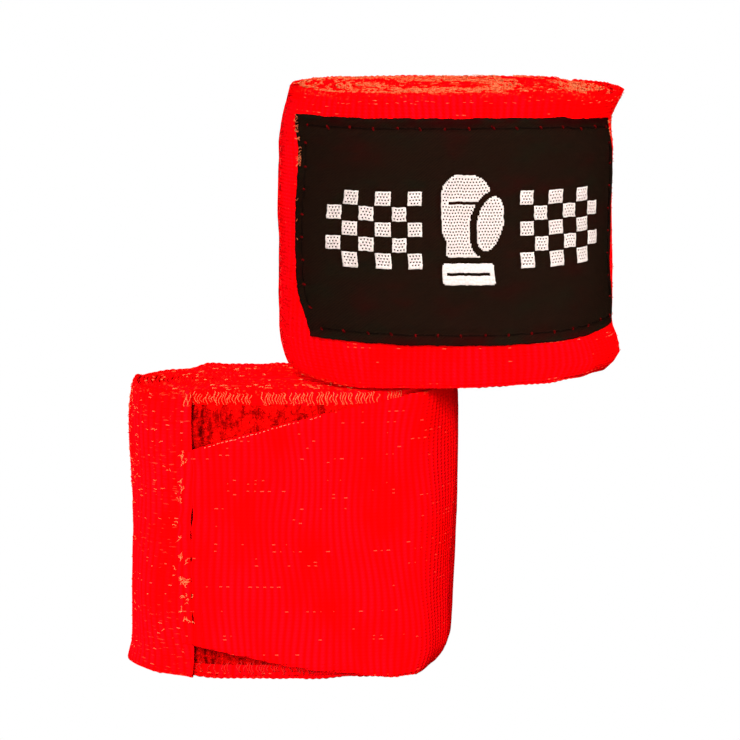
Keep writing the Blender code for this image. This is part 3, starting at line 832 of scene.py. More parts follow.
def outer_turn(roll):
    """The coil's last full turn, which the closure lies on: fully ribbed."""
    last = float(np.interp(TURN, roll.wind, roll.wind_length))
    along = np.linspace(0.0, last, int(last / STEP))
    seed = 500 + 100 * roll.rank
    high = WIDTH + 0.16 * wobble(along, seed + 1, 46.0) - 0.06
    low = 0.10 + 0.10 * wobble(along, seed + 2, 40.0)

    def slack(place):
        return roll.slack * (1 - smooth(place, 4.5, 13.0))

    strip(roll, "outer_turn", COIL_CLOTH[roll.name], along, low, high,
          inner=lambda place, z: -0.42 + slack(place), outer=lambda place, z: -0.04 + slack(place),
          rows=26, seed=seed, moves="roll", rib=0.05, place=roll.coil_point)


# ---------------------------------------------------------------------------------------------
# the flap
# ---------------------------------------------------------------------------------------------
FLAP_CUT = -21 * RIB            # a whole number of ribs from the seam
FLAP_END = -0.3
# Wide spots of the slit between the flap and its sewn-down end: z, half height, extra width.
CRACKS = ((28.6, 1.5, 0.40), (25.2, 0.9, 0.24), (21.2, 0.45, 0.32), (17.6, 0.5, 0.20),
          (14.8, 0.45, 0.32), (10.9, 0.8, 0.34))


def crack_half(z):
    return (0.03 + sum(extra * bump(z, place, half) for place, half, extra in CRACKS)) / 2


def flap_lift(roll, along):
    """The flap climbs off the coil at its start and steps up again onto the seam."""
    return (-0.42 + smooth(along, -50, -38) * 2.22 + roll.slack * (1 - smooth(along, -50, -43))
            + smooth(along, -4.6, -2.0) * 0.62)


def flap_inner(roll, along, z):
    return flap_lift(roll, along) + 0.05 * wobble_2d(along, z, 71, 17.0, 23.0, 2)


def flap_outer(roll, along, z):
    thickness = 0.40 + 0.20 * smooth(along, -50, -38) - 0.14 * smooth(along, -4.6, -2.0)
    pillow = (0.18 * smooth(along, -36, -20) * (1 - smooth(along, -14, -3))
              * (1 - ((z - MIDDLE) / 26) ** 2))
    return (flap_lift(roll, along) + thickness + pillow
            + 0.06 * wobble_2d(along, z, 72, 19.0, 31.0, 2))


def flap_edges(along):
    narrowing = np.clip((along + 42) / 42, 0, 1)
    return (6.2 * narrowing ** 1.6 + 0.12 * wobble(along, 73, 9.0),
            WIDTH - 9.9 * narrowing ** 1.3 + 0.12 * wobble(along, 74, 8.0))


def flap(roll):
    def flap_slit(along, z):
        width = crack_half(z) + 0.06 * np.sin(z * 0.9)
        return along - width * smooth(along, -2.5, FLAP_END)

    def sewn_slit(along, z):
        width = crack_half(z) - 0.06 * np.sin(z * 0.9)
        return (along + width * smooth(along, 0.9, -0.26)
                + 0.32 * wobble(z, 76, 5.0) * smooth(along, 0.3, 1.75))

    def sewn_outer(along, z):
        return (2.86 - 0.16 * smooth(along, 0.9, 1.75)
                + 0.05 * wobble_2d(along, z, 75, 2.1, 2.6, 2))

    for tag, start, end, moves, replaces, bend in (
            ("a", -FLAP_LENGTH, FLAP_CUT, at_flap_start, "flap", None),
            ("b", FLAP_CUT, FLAP_END, at_seam, None, flap_slit)):
        along = stations(start, end)
        low, high = flap_edges(along)
        strip(roll, f"flap_{tag}", FLAP_CLOTH, along, low, high,
              inner=lambda place, z: flap_inner(roll, place, z),
              outer=lambda place, z: flap_outer(roll, place, z),
              rows=64, seed=81, moves=moves, replaces=replaces, hem=0.14, bend=bend)
    # the sewn-down end beyond the slit
    along = np.linspace(-0.26, 1.75, 22)
    low, high = flap_edges(np.zeros_like(along))
    strip(roll, "flap_sewn_end", FLAP_CLOTH, along, low + 0.1, high - 0.15,
          inner=lambda place, z: 2.42, outer=sewn_outer, rows=90, seed=83, moves=at_seam,
          rib=0.03, bend=sewn_slit)


# ---------------------------------------------------------------------------------------------
# the strap
# ---------------------------------------------------------------------------------------------
def strap_lift(roll, along):
    """Past the hook patch the free tip comes to rest on the turn below."""
    return STRAP_LIFT - 1.15 * smooth(along, roll.tip_end - 7.5, roll.tip_end - 0.4)


def strap_inner(roll, along, z):
    return strap_lift(roll, along) + 0.05 * wobble_2d(along, z, 91, 23.0, 29.0, 2)


def strap_outer(roll, along, z):
    return (strap_lift(roll, along) + 0.60 - 0.08 * smooth(along, 0.4, -0.6)
            + 0.05 * wobble_2d(along, z, 92, 23.0, 29.0, 2)
            - 0.14 * smooth(along, roll.tip_end - 1.4, roll.tip_end))


def strap_top(roll, along):
    """The upper roll's strap narrows towards its tip."""
    return WIDTH - (1.7 * smooth(along, 70, 88) if roll.is_upper else 0.0)


def strap(roll):
    for part, start, end, moves in (("strap_root", 0.0, PANEL[0], at_seam),
                                    ("strap_panel", *PANEL, at_hinge),
                                    ("strap_tip", PANEL[1], roll.tip_end, at_tip)):
        along = stations(start, end)
        low = 0.12 + 0.12 * wobble(along, 93, 14.0)
        high = strap_top(roll, along) + 0.10 * wobble(along, 94, 13.0)
        if not roll.is_upper:
            high = high + 0.3 * smooth(along, 4, 0)
        strip(roll, part + "_cloth", STRAP_CLOTH, along, low, high,
              inner=lambda place, z: strap_inner(roll, place, z),
              outer=lambda place, z: strap_outer(roll, place, z),
              rows=40, seed=95, moves=moves, replaces=part, uv_start=60.0)


def strap_fuzz(roll):
    """Short ends of yarn that stand off the strap's cloth."""
    rng = np.random.default_rng(52)
    part = np.linspace(0, 1, 6)
    hump = np.sin(part * np.pi)
    for tag, start, end, count, moves in (("root", 2.6, 8.8, 44, at_seam),
                                          ("panel", 9.6, 34.0, 260, at_hinge)):
        shape = (count, 1)
        root = rng.uniform(start, end, shape)
        if tag == "panel":                              # gathered near the hinge
            gathered = rng.uniform(0, 1, shape) < 0.55
            root = np.where(gathered, rng.normal(14.0, 3.2, shape), root)
            root = np.clip(root, start, 21.5)
        root_z = np.concatenate([rng.uniform(32, 49.4, (count // 2, 1)),
                                 rng.uniform(1.0, 49.0, (count - count // 2, 1))])
        length = rng.uniform(0.25, 0.75, shape)
        angle = rng.normal(0, 0.5, shape) + np.pi * rng.integers(0, 2, shape)
        bow = hump * rng.uniform(-0.14, 0.14, shape)
        along = root + part * (length * np.cos(angle)) + bow
        z = np.clip(root_z + part * (length * np.sin(angle)) + bow, 0.6, 49.8)
        lift = strap_outer(roll, along, z) + 0.05 + rng.uniform(0.02, 0.20, shape) * hump
        points = roll.point(along, z, lift)
        for kind, mat, first in (("light", TAN, 0), ("red", RED, 1)):
            tubes(roll, f"strap_{tag}_fuzz_{kind}", points[first::2], 0.042, mat, moves, sides=4)
    # ends of weft yarn that show just under the strap's top edge
    part, paths = span(6), []
    place = 20.0
    while place < 82.0:
        along = place + part * rng.uniform(0.25, 0.75)
        z = (strap_top(roll, along) - rng.uniform(0.75, 1.25)
             + rng.uniform(-0.1, 0.1) * part)
        paths.append(roll.point(along, z, strap_outer(roll, along, z) + 0.01 + 0.07 * arch(part)))
        place += rng.uniform(0.9, 3.1)
    tubes(roll, "strap_edge_yarn", paths, 0.04, ORANGE, "strap_panel", sides=4)
    # loops over the strap's top corner, beside the seam
    part = np.linspace(0, 1, 11)
    paths = []
    for place, height, sway in ((0.22, 1.05, -1), (0.55, 0.95, 1), (0.90, 1.05, -1)):
        z = 48.75 + np.cos(part * np.pi) * height
        along = place + 0.16 * np.sin(part * TURN * sway) + 0.12 * (part - 0.5)
        lift = strap_outer(roll, along, z) + 0.02 + 0.10 * np.sin(part * np.pi)
        paths.append(roll.point(along, z, lift))
    tubes(roll, "strap_corner_loops", paths, 0.052, ORANGE, at_seam)


# ---------------------------------------------------------------------------------------------
# the hook and loop patches
# ---------------------------------------------------------------------------------------------
CREASES = ((88.5, 0.50), (90.0, 0.45), (91.2, 0.30))    # place along the coil, depth


def loop_patch(roll):
    start, end = LOOP_PATCH
    low, high = LOOP_PATCH_Z
    stops = np.linspace(start, end, 150)
    z = spread(np.full_like(stops, low), np.full_like(stops, high), 150)
    along = np.broadcast_to(stops[:, None], z.shape)
    height = (0.62 + 0.16 * wobble_2d(along, z, 111, 1.7, 1.3, 3)
              + 0.14 * wobble_2d(along, z, 112, 7.0, 5.0, 2))
    for place, depth in CREASES:
        seed = int(place)
        crease = bump(along, place + 0.35 * wobble(z, seed, 9.0), 0.30)
        height = height - depth * crease * (0.6 + 0.4 * wobble(z, seed + 5, 6.0))
    height = np.maximum(height, 0.08)
    border = np.minimum(np.minimum(along - start, end - along), np.minimum(z - low, high - z))
    face = 0.10 + height * smooth(border, -0.3, 1.5)
    ob = sheet(roll.name + "_loop_pile", LOOP_PILE, roll.coil_point, along, z, face,
               np.zeros_like(face), rounding=0.03)
    finish(roll, ob, "roll", replaces="loop_patch")
    rng = np.random.default_rng(17 + roll.rank)
    pile_loops(roll, rng)
    overlock(roll, rng)
    # the patch's side seams
    centre, part = np.arange(4.0, 46.5, 1.5)[:, None], span(6)
    for tag, place in (("a", start + 0.9), ("b", end - 0.9)):
        points = roll.coil_point(place + 0.25 * np.sin(centre * 3), centre + part * 1.1,
                                 0.55 + 0.22 * arch(part))
        tubes(roll, f"loop_side_stitch_{tag}", points, 0.09, RED, "roll")


def pile_loops(roll, rng):
    shape = (3200, 1)
    centre = rng.uniform(LOOP_PATCH[0] + 0.6, LOOP_PATCH[1] - 0.6, shape)
    centre_z = rng.uniform(3.0, 47.0, shape)
    angle, size = rng.uniform(0, TURN, shape), rng.uniform(0.25, 0.6, shape)
    arc = np.linspace(0, np.pi, 6)
    reach = np.cos(arc) * size
    along = centre + reach * np.cos(angle) + 0.12 * np.sin(arc * 2) * np.sin(angle)
    lift = 0.58 + np.sin(arc) * rng.uniform(0.2, 0.42, shape)
    points = roll.coil_point(along, centre_z + reach * np.sin(angle), lift)
    tubes(roll, "loop_pile_loops", points, 0.035, LOOP_PILE, "roll", sides=3)


def overlock(roll, rng):
    """Dense orange loops over the band's top edge, and plainer ones below."""
    part = np.linspace(0, 1, 11)
    for edge, edge_z, reach, kept, radius, mat, replaces in (
            ("top", 48.75, 1.10, 0.84, 0.052, ORANGE, "loop_patch_thread"),
            ("base", 1.9, 1.0, 0.55, 0.07, RED, None)):
        place = np.arange(LOOP_PATCH[0] + 0.2, LOOP_PATCH[1] - 0.2, 0.44)
        patchy = 0.5 + 0.5 * wobble(place, 77, 9.0)
        place = place[rng.uniform(0, 1, len(place)) < kept * (0.72 + 0.4 * patchy)][:, None]
        shape = place.shape
        lean = rng.uniform(-0.35, 0.35, shape)
        height = reach * rng.uniform(0.55, 1.08, shape)
        curl = rng.uniform(-1, 1, shape)
        along = (place + 0.15 * np.sin(part * TURN) * curl + 0.16 * np.sin(part * TURN * 1.5)
                 + lean * (part - 0.5) + rng.uniform(-0.1, 0.1, shape))
        z = edge_z + np.cos(part * np.pi) * height + rng.uniform(-0.12, 0.12, shape)
        lift = 0.10 + 0.55 * np.sin(part * np.pi) ** 0.6
        tubes(roll, f"loop_overlock_{edge}", roll.coil_point(along, z, lift), radius, mat,
              "roll", replaces=replaces)


# Profile of one hook from its root: sideways along z, and drop from the tape's inner face.
HOOK_ASIDE = np.array([0, 0.0, 0.03, 0.16, 0.34, 0.42])
HOOK_DROP = np.array([0.0, 0.26, 0.50, 0.66, 0.58, 0.40])


def hook_patch(roll):
    dimple, row_pitch = 1.2, 1.15
    stops = np.linspace(23, 81, 120)
    z = spread(np.full_like(stops, 8.0), np.full_like(stops, 46.0), 60)
    along = np.broadcast_to(stops[:, None], z.shape)
    back = 1.12 + 0.04 * np.sin(z * TURN / dimple) * np.sin(along * TURN / dimple)
    ob = sheet(roll.name + "_hook_tape", NYLON, roll.point, along, z, np.full_like(z, 1.72),
               back, rounding=0.02)
    finish(roll, ob, "strap_panel", replaces="hook_patch")
    along, z = np.meshgrid(np.arange(25.2, 79.2, 1.2), np.arange(10.2, 44.2, row_pitch),
                           indexing="ij")
    along, z = along.reshape(-1, 1), z.reshape(-1, 1)
    rng = np.random.default_rng(29)
    along = along + rng.uniform(-0.12, 0.12, along.shape)
    z = z + rng.uniform(-0.12, 0.12, z.shape)
    facing = np.where(np.round(z / row_pitch).astype(int) % 2 == 0, 1.0, -1.0)
    points = roll.point(along, z + facing * HOOK_ASIDE, 1.14 - HOOK_DROP)
    tubes(roll, "hooks", points, 0.085, NYLON, "strap_panel", sides=4)


# ---------------------------------------------------------------------------------------------
# the label
# ---------------------------------------------------------------------------------------------
def label_point(part, rise):
    """Along and z for parts 0..1 of the label, from the end nearer the seam and from its base."""
    bow = np.abs(2 * part - 1)
    ripple = part * LABEL_LENGTH
    near = part < 0.5
    nick = 0.06 * wobble(ripple, 139, 2.2) + 0.04 * wobble(ripple, 140, 0.9)
    top = (LABEL_Z[1] - np.where(near, 0.62, 0.05) * bow ** 3 + 0.12 * wobble(ripple, 133, 9.0)
           + nick)
    base = (LABEL_Z[0] + np.where(near, 1.75, 1.0) * bow ** 2.2
            + 0.10 * wobble(ripple, 134, 10.0) + nick)
    z = base + (top - base) * rise
    start = (22.6 + 1.6 * smooth(z, 12, 24) + 1.9 * smooth(z, 43.4, 46.4) ** 2
             + 0.24 * wobble(z, 131, 12.0) + 0.11 * wobble(z, 137, 2.0))
    end = (83.1 + 1.3 * smooth(z, 40, 46.3) - 2.4 * smooth(z, 20, 7.6)
           + 0.18 * wobble(z, 132, 9.0) + 0.07 * wobble(z, 138, 1.3))
    return start + (end - start) * part, z


def label_face(along, z):
    """Lift of the label's face: drawn down along the stitching, raised at its edges."""
    border = np.minimum(z - LABEL_Z[0], LABEL_Z[1] - z)
    sewn = 1 - smooth(np.abs(border - 2.0), 0.0, 1.3)
    pucker = 0.5 + 0.5 * np.cos(TURN * (along - 24.6) / 4.1)
    edge_up = 0.20 * smooth(border, 1.4, 0.2) * (0.6 + 0.4 * wobble(along, 135, 8.0))
    soft = 0.10 * wobble_2d(along, z, 136, 26.0, 19.0, 3)
    return 2.95 + soft - sewn * (0.10 + 0.10 * pucker) + edge_up


def label(roll):
    part, rise = np.meshgrid(np.linspace(0, 1, 260), np.linspace(0, 1, 130), indexing="ij")
    along, z = label_point(part, rise)
    face = label_face(along, z)
    ob = sheet(roll.name + "_label_weave", LABEL, roll.point, along, z, face,
               np.minimum(2.50, face - 0.2), rounding=0.04)
    finish(roll, ob, "strap_panel", replaces="label")
    label_stitches(roll)
    label_frays(roll)
    motif(roll)


def label_stitches(roll, pitch=4.1, stitch=3.5):
    """Lockstitch: dark thread on the face, dark red under-thread at each needle hole."""
    rng = np.random.default_rng(40)
    stitches, knots = [], []
    long_part, short_part = span(8), span(5)

    def add_stitch(part, rise):
        along, z = label_point(part, rise)
        lift = label_face(along, z) + 0.02 + 0.11 * arch(long_part) ** 0.5
        stitches.append(roll.point(along, z, lift))

    def add_knot(part, rise):
        along, z = label_point(part, rise)
        lift = label_face(along, z) + rng.uniform(-0.12, 0.03) + 0.13 * arch(short_part)
        knots.append(roll.point(along, z, lift))

    def middle(place):
        return place + pitch / 2 + long_part * stitch

    for rise in (1.75 / LABEL_HEIGHT, 1 - 1.7 / LABEL_HEIGHT):
        for place in np.arange(2.0, LABEL_LENGTH - 1.6, pitch):
            part = (place + rng.uniform(-0.15, 0.15)) / LABEL_LENGTH
            slant = (0.12 + rng.uniform(-0.25, 0.25)) * short_part
            upright = rng.uniform(0.38, 0.66) * short_part + rng.uniform(-0.1, 0.1)
            add_knot(part + slant / LABEL_LENGTH, rise + upright / LABEL_HEIGHT)
            if place + pitch < LABEL_LENGTH - 1.6:
                add_stitch(middle(place) / LABEL_LENGTH, rise)
    for part in (1.7 / LABEL_LENGTH, 1 - 1.7 / LABEL_LENGTH):
        for place in np.arange(5.2, LABEL_HEIGHT - 4.4, pitch):
            rise = (place + rng.uniform(-0.15, 0.15)) / LABEL_HEIGHT
            level = rng.uniform(0.36, 0.58) * short_part
            slant = (0.12 + rng.uniform(-0.25, 0.25)) * short_part
            add_knot(part + level / LABEL_LENGTH, rise + slant / LABEL_HEIGHT)
            if place + pitch < LABEL_HEIGHT - 4.4:
                add_stitch(part, middle(place) / LABEL_HEIGHT)
    tubes(roll, "label_stitches", stitches, 0.10, BLACK, "strap_panel", sides=6,
          replaces="label_thread")
    tubes(roll, "label_stitch_knots", knots, 0.19, DARK, "strap_panel", sides=7,
          taper=np.array([0.55, 0.95, 1.0, 0.95, 0.55]))


def label_frays(roll, far_count=30, top_count=26, near_count=9):
    """Frayed ends on the cut sides, most of them near the far side's top corner."""
    rng = np.random.default_rng(41)
    part = np.linspace(0, 1, 7)
    paths = []
    for k in range(far_count):
        at_top = k < top_count
        rise = 1 - rng.uniform(0.0, 0.22) if at_top else rng.uniform(0.30, 0.80)
        along, z = label_point(0.995, rise)
        length = rng.uniform(0.25, 0.85) if at_top else rng.uniform(0.1, 0.3)
        tilt = rng.uniform(-0.8, 0.8)
        lift = label_face(along, z) + 0.03 + rng.uniform(0.05, 0.4) * part
        paths.append(roll.point(along - 0.35 + part * length,
                                z + tilt * part * length + 0.15 * np.sin(part * 5 + k), lift))
    for k in range(near_count):
        along, z = label_point(0.004, 1 - rng.uniform(0.0, 0.09))
        length = rng.uniform(0.4, 1.2)
        tilt = rng.uniform(-0.9, 0.4)
        lift = label_face(along, z) + 0.05 + 0.4 * part * rng.uniform(0, 1)
        paths.append(roll.point(along + 0.4 - part * length, z + tilt * part, lift))
    tubes(roll, "label_frays", paths, 0.04, TAN, "strap_panel", sides=4)


def motif_cells(x, z):
    """Which cells are woven light. x is from the label's middle, z from the roll's base."""
    def box(x_from, x_to, z_from, z_to, radius=0.0):
        past_x = np.abs(x - (x_from + x_to) / 2) - (x_to - x_from) / 2 + radius
        past_z = np.abs(z - (z_from + z_to) / 2) - (z_to - z_from) / 2 + radius
        return np.hypot(np.maximum(past_x, 0), np.maximum(past_z, 0)) <= max(radius, 1e-9)

    def ellipse(centre_x, centre_z, half_x, half_z, turn):
        cosine, sine = math.cos(turn), math.sin(turn)
        from_x, from_z = x - centre_x, z - centre_z
        return (((from_x * cosine + from_z * sine) / half_x) ** 2
                + ((-from_x * sine + from_z * cosine) / half_z) ** 2) <= 1

    fist = box(-5.4, 3.4, 24.1, 37.0, 4.0) | box(-4.6, 2.6, 22.8, 29.2, 0.8)
    thumb = ellipse(3.4, 28.5, 2.3, 4.7, -0.22)
    thumb_gap = ellipse(3.0, 28.5, 3.2, 5.7, -0.22) & ~thumb
    knuckle = box(-4.0, 1.0, 31.8, 32.5)
    cuff = box(-5.3, 4.0, 18.0, 21.8, 0.8) & ~box(-4.4, 3.1, 19.6, 20.2)
    shapes = (((fist & ~thumb_gap) | thumb) & ~knuckle) | cuff
    # chequers: six columns and five rows of squares each side
    square, seam = 2.7, 0.05
    column, row = (np.abs(x) - 8.6) / square, (z - 20.7) / square
    in_x, in_z = column - np.floor(column), row - np.floor(row)
    shapes |= ((column >= 0) & (column < 6) & (row >= 0) & (row < 5)
               & ((np.floor(column) + np.floor(row)) % 2 == 0)
               & (np.minimum(in_x, 1 - in_x) > seam) & (np.minimum(in_z, 1 - in_z) > seam))
    # staggered gaps let the ground show inside the shapes; the cuff is woven solid
    i, j = np.indices(shapes.shape)
    gap = (j % 2 == 0) & ((i + j // 2) % 2 == 0)
    inside = shapes.copy()
    inside[1:-1, 1:-1] &= (shapes[:-2, 1:-1] & shapes[2:, 1:-1]
                           & shapes[1:-1, :-2] & shapes[1:-1, 2:])
    return shapes & ~(gap & inside & ~cuff)


def motif(roll):
    """A glove between two chequered panels, centred on the label and woven in light yarn on a
    square grid."""
    cell = 0.265
    cells_x, cells_z = np.arange(-26.5, 26.5, cell), np.arange(17.0, 38.0, cell)
    woven = motif_cells(*np.meshgrid(cells_x + cell / 2, cells_z + cell / 2, indexing="ij"))
    lines_x = np.concatenate([cells_x, [cells_x[-1] + cell]])
    lines_z = np.concatenate([cells_z, [cells_z[-1] + cell]])
    grid_x, grid_z = np.meshgrid(lines_x, lines_z, indexing="ij")
    # the distance along the strap falls as x rises
    along, z = label_point(0.5 - grid_x / LABEL_LENGTH, (grid_z - 7.6) / 38.8)
    low = label_face(along, z) - 0.03
    high = low + 0.13 + 0.02 * wobble_2d(along, z, 151, 0.9, 0.7, 1)
    verts = np.concatenate([roll.point(along, z, lift).reshape(-1, 3) for lift in (high, low)])
    under = grid_x.size                         # index step from a top corner to the one below
    number = np.arange(under).reshape(grid_x.shape)
    i, j = np.nonzero(woven)
    corners = [number[i, j], number[i + 1, j], number[i + 1, j + 1], number[i, j + 1]]
    quads = [np.stack(corners, -1),
             np.stack([corners[k] for k in (0, 3, 2, 1)], -1) + under]
    padded = np.pad(woven, 1)
    for k, (step_x, step_z) in enumerate(((0, -1), (1, 0), (0, 1), (-1, 0))):
        is_open = ~padded[i + 1 + step_x, j + 1 + step_z]
        start, end = corners[k][is_open], corners[(k + 1) % 4][is_open]
        quads.append(np.stack([end, start, start + under, end + under], -1))
    used, index = np.unique(np.concatenate(quads), return_inverse=True)
    uv = np.tile(np.stack([grid_x.ravel(), grid_z.ravel()], -1), (2, 1))
    ob = build(roll.name + "_label_motif", verts[used], [index.reshape(-1, 4)], uv[used], MOTIF,
               flat=True)
    finish(roll, ob, "strap_panel")


# ---------------------------------------------------------------------------------------------
# stitching
# ---------------------------------------------------------------------------------------------
# Small tufts where the flap's end laps the strap: along, z, number of yarns.
TUFTS = ((1.5, 39.1, 6), (1.4, 37.9, 4), (1.9, 34.3, 3), (1.5, 33.6, 4), (1.7, 31.4, 5),
         (2.3, 27.6, 2), (1.8, 24.4, 3), (1.5, 21.6, 6), (0.4, 21.3, 3), (2.4, 19.0, 2),
         (1.3, 17.8, 5), (0.3, 17.6, 5), (0.9, 16.9, 4), (1.0, 14.6, 4), (0.3, 14.2, 4),
         (1.6, 12.3, 3), (1.1, 10.6, 4), (0.1, 10.4, 3))


def flap_stitches(roll):
    part = span(6)
    # fine light stitches over the top edge, thinning out towards the flap's start
    rng = np.random.default_rng(60)
    paths = []
    for place in np.arange(-37.0, -2.2, 0.72):
        if rng.uniform() < smooth(place, -16, -30):
            continue
        along = place + part * rng.uniform(0.18, 0.52)
        z = flap_edges(along)[1] - 0.16 + rng.uniform(-0.06, 0.06)
        paths.append(roll.point(along, z, flap_outer(roll, along, z) + 0.07 + 0.10 * arch(part)))
    tubes(roll, "flap_top_stitches", paths, 0.038, LIGHT, "flap", replaces="flap_top_thread")

    along = np.arange(-37.0, -2.2, 2.1)[:, None] + part * 0.8
    z = flap_edges(along)[0] + 1.3
    points = roll.point(along, z, flap_outer(roll, along, z) + 0.05 + 0.10 * arch(part))
    tubes(roll, "flap_bottom_stitches", points, 0.09, BAND_RED, "flap",
          replaces="flap_bottom_thread")
    # beside the seam
    centre = np.arange(8.0, 40.0, 1.9)[:, None]
    along, z = -1.7 + 0.10 * np.sin(centre * 3.1), centre + part
    points = roll.point(along, z, flap_outer(roll, along, z) - 0.02 + 0.08 * arch(part))
    tubes(roll, "seam_stitches", points, 0.07, BAND_RED, "flap", replaces="seam_thread")


def flap_frays(roll):
    rng = np.random.default_rng(61)
    part = np.linspace(0, 1, 8)
    paths = []
    for place, place_z, count in TUFTS:
        for _ in range(count):
            length, angle = rng.uniform(0.35, 0.95), rng.uniform(-1.9, 1.9)
            along = (place + rng.normal(0, 0.16) - 0.3 + part * length * math.cos(angle)
                     + 0.10 * np.sin(part * 7 + place_z))
            z = (place_z + rng.normal(0, 0.28) + part * length * math.sin(angle)
                 + 0.10 * np.cos(part * 8 + place_z))
            lift = (2.90 + 0.14 * np.sin(part * np.pi) * rng.uniform(0.3, 1)
                    - 0.36 * smooth(along, 1.35, 1.9))
            paths.append(roll.point(along, z, np.maximum(lift, 2.48)))
    tubes(roll, "flap_frays", paths, 0.05, TAN, at_seam, sides=4)


def tip_stitches(roll):
    part = span(6)
    z = np.arange(2.0, 47.4, 2.1)[:, None] + part * 1.1
    along = roll.tip_end - 2.0
    points = roll.point(along, z, strap_outer(roll, along, z) + 0.03 + 0.12 * arch(part))
    tubes(roll, "tip_stitches", points, 0.10, RED, "strap_tip", replaces="tip_thread")


# ---------------------------------------------------------------------------------------------
# the thumb loop in the core
# ---------------------------------------------------------------------------------------------
def thumb_loop(roll):
    """Tape folded round the +x end of its own frame, then back inside itself."""
    half, leg, gap, thickness = 7.8, 1.20, 0.62, 0.56
    bend = np.radians(np.linspace(10, 170, 17))
    straight, flat = np.linspace(-half, half, 30), np.ones(30)
    normal_x = np.concatenate([0 * flat, np.sin(bend), 0 * flat])
    normal_y = np.concatenate([flat, np.cos(bend), -flat])
    spine_x = np.concatenate([straight, half + leg * np.sin(bend), straight[::-1]])
    spine = np.stack([spine_x, leg * normal_y], -1)
    normal = np.stack([normal_x, normal_y], -1)
    cap = np.radians(np.linspace(25, 155, 6))
    caps = [np.stack([-half - gap * np.sin(cap), end * leg - gap * np.cos(cap)], -1)
            for end in (-1, 1)]
    line = np.concatenate([spine + normal * gap, caps[0], (spine - normal * gap)[::-1], caps[1]])
    tangent = np.roll(line, -1, 0) - np.roll(line, 1, 0)
    tangent /= np.linalg.norm(tangent, axis=1, keepdims=True)
    length = np.cumsum(np.linalg.norm(np.diff(line, axis=0), axis=1))
    length = np.concatenate([[0], length])
    rows = np.linspace(15, 35, 14)
    ring_z = np.concatenate([rows, [35.1], rows[::-1], [14.9]])
    side = np.full(14, thickness / 2)
    offset = np.concatenate([side, [0], -side, [0]])
    x = line[:, :1] + tangent[:, 1:] * offset
    y = line[:, 1:] - tangent[:, :1] * offset
    z = np.broadcast_to(ring_z, x.shape)
    uv = np.stack([np.broadcast_to(length[:, None], x.shape), z], -1)
    ob = loft(roll.name + "_thumb_loop_tape", roll.world(x, y, z), uv, TAPE_CLOTH, closed=True)
    finish(roll, ob, "roll", replaces="thumb_loop")


def thumb_tack(roll):
    """A bar of close zigzag stitches filling the frame's tack."""
    low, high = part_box(roll.name + "_thumb_tack")
    middle, half = (low + high) / 2, (high - low) / 2
    part = np.linspace(-1, 1, 7)
    row = np.linspace(-0.95, 0.95, 26)[:, None]
    zigzag = (-1.0) ** np.arange(26)[:, None]
    points = np.stack(np.broadcast_arrays(
        middle.x + part * half.x * 0.95, middle.y,
        middle.z + (row + 0.03 * part * zigzag) * half.z), -1)
    tubes(roll, "thumb_bar_tack", points, min(0.16, half.y / MM), RED, "roll",
          replaces="thumb_tack")


for wrap in (LOWER, UPPER):
    for make in (wound_band, edge_curls, outer_turn, flap, strap, strap_fuzz, loop_patch,
                 hook_patch, label, flap_stitches, flap_frays, tip_stitches, thumb_loop,
                 thumb_tack):
        make(wrap)


# ---------------------------------------------------------------------------------------------
# floor, light and camera (metres)
# ---------------------------------------------------------------------------------------------
def floor():
    """Bright paper: pure white to the camera, and it throws no light up under the rims."""
    mesh = bpy.data.meshes.new("floor")
    grid = bmesh.new()
    bmesh.ops.create_grid(grid, x_segments=1, y_segments=1, size=6.0)
    grid.to_mesh(mesh)
    grid.free()
    ob = bpy.data.objects.new("floor", mesh)
    ob.location.z = -0.0008
    bpy.context.scene.collection.objects.link(ob)
    mat = bpy.data.materials.new("floor_paper")
    mat.use_nodes = True
    tree = mat.node_tree
    tree.nodes.clear()
    output = tree.nodes.new("ShaderNodeOutputMaterial")
    glow = tree.nodes.new("ShaderNodeEmission")
    glow.inputs["Color"].default_value = (1, 1, 1, 1)
    glow.inputs["Strength"].default_value = 1.0
    tree.links.new(glow.outputs[0], output.inputs[0])
    mesh.materials.append(mat)
    ob.visible_diffuse = ob.visible_glossy = ob.visible_shadow = False


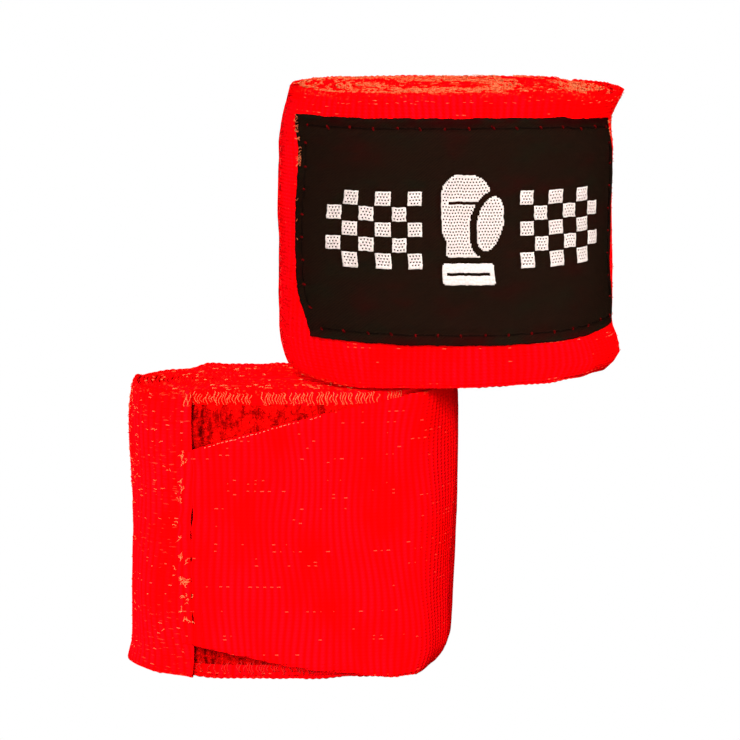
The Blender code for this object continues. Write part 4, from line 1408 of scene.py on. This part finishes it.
def studio():
    """White to the camera; the fill light changes with the ray's slope."""
    world = bpy.data.worlds.new("studio")
    bpy.context.scene.world = world
    world.use_nodes = True
    tree = world.node_tree
    tree.nodes.clear()
    new, link = tree.nodes.new, tree.links.new
    output, mixer = new("ShaderNodeOutputWorld"), new("ShaderNodeMixShader")
    path = new("ShaderNodeLightPath")
    seen, fill = new("ShaderNodeBackground"), new("ShaderNodeBackground")
    seen.inputs[0].default_value = (1, 1, 1, 1)
    seen.inputs[1].default_value = 1.0
    geometry, split = new("ShaderNodeNewGeometry"), new("ShaderNodeSeparateXYZ")
    fade = new("ShaderNodeMapRange")
    for key, value in (("From Min", 0.25), ("From Max", -0.35), ("To Min", 0.02),
                       ("To Max", 0.42)):
        fade.inputs[key].default_value = value
    link(geometry.outputs["Incoming"], split.inputs[0])
    link(split.outputs[2], fade.inputs[0])
    link(fade.outputs[0], fill.inputs[1])
    link(path.outputs["Is Camera Ray"], mixer.inputs[0])
    link(fill.outputs[0], mixer.inputs[1])
    link(seen.outputs[0], mixer.inputs[2])
    link(mixer.outputs[0], output.inputs[0])


def sun(name, source, strength, angle, lights=None, shaded_by=None):
    """source points to the sun, angle is its size in degrees."""
    data = bpy.data.lights.new(name, "SUN")
    data.energy, data.angle = strength, math.radians(angle)
    ob = bpy.data.objects.new(name, data)
    ob.rotation_euler = (-Vector(source)).to_track_quat("-Z", "Y").to_euler()
    bpy.context.scene.collection.objects.link(ob)
    if lights is not None:
        ob.light_linking.receiver_collection = lights
    if shaded_by is not None:
        ob.light_linking.blocker_collection = shaded_by


def suns():
    upper, lower = SIDES["upper"], SIDES["lower"]
    sun("key", source=(-0.10, -1.0, 0.60), strength=4.3, angle=26)
    # level light, as thrown back by a table: it reaches under the upper roll's overhang
    level = (-0.10, -1.0, 0.05)
    sun("level_upper", source=level, strength=2.2, angle=24, lights=upper, shaded_by=upper)
    sun("level_lower", source=level, strength=2.4, angle=24, lights=lower, shaded_by=lower)
    sun("upper_side", source=(1.0, -0.55, 0.35), strength=3.0, angle=30, lights=upper)
    sun("upper_wrap", source=(-1.0, -0.40, 0.30), strength=0.22, angle=40, lights=upper)
    sun("lower_side", source=(-1.0, -0.55, 0.35), strength=3.0, angle=30, lights=lower)
    sun("lower_wrap", source=(1.0, -0.40, 0.30), strength=0.28, angle=40, lights=lower)
    sun("back", source=(0.05, 1.0, 0.22), strength=5.2, angle=20)


def camera():
    tilt_down, turn = 9.14, -1.21           # degrees
    data = bpy.data.cameras.new("camera")
    ob = bpy.data.objects.new("camera", data)
    scene = bpy.context.scene
    scene.collection.objects.link(ob)
    data.sensor_width = 36.0
    data.lens = 167.94
    data.clip_start, data.clip_end = 0.01, 30
    ob.location = (-0.01267, -0.600, 0.14705)
    ob.rotation_euler = (math.radians(90 - tilt_down), 0, math.radians(turn))
    scene.camera = ob
    scene.view_settings.view_transform = "Standard"
    scene.view_settings.look = "None"


floor()
studio()
suns()
camera()
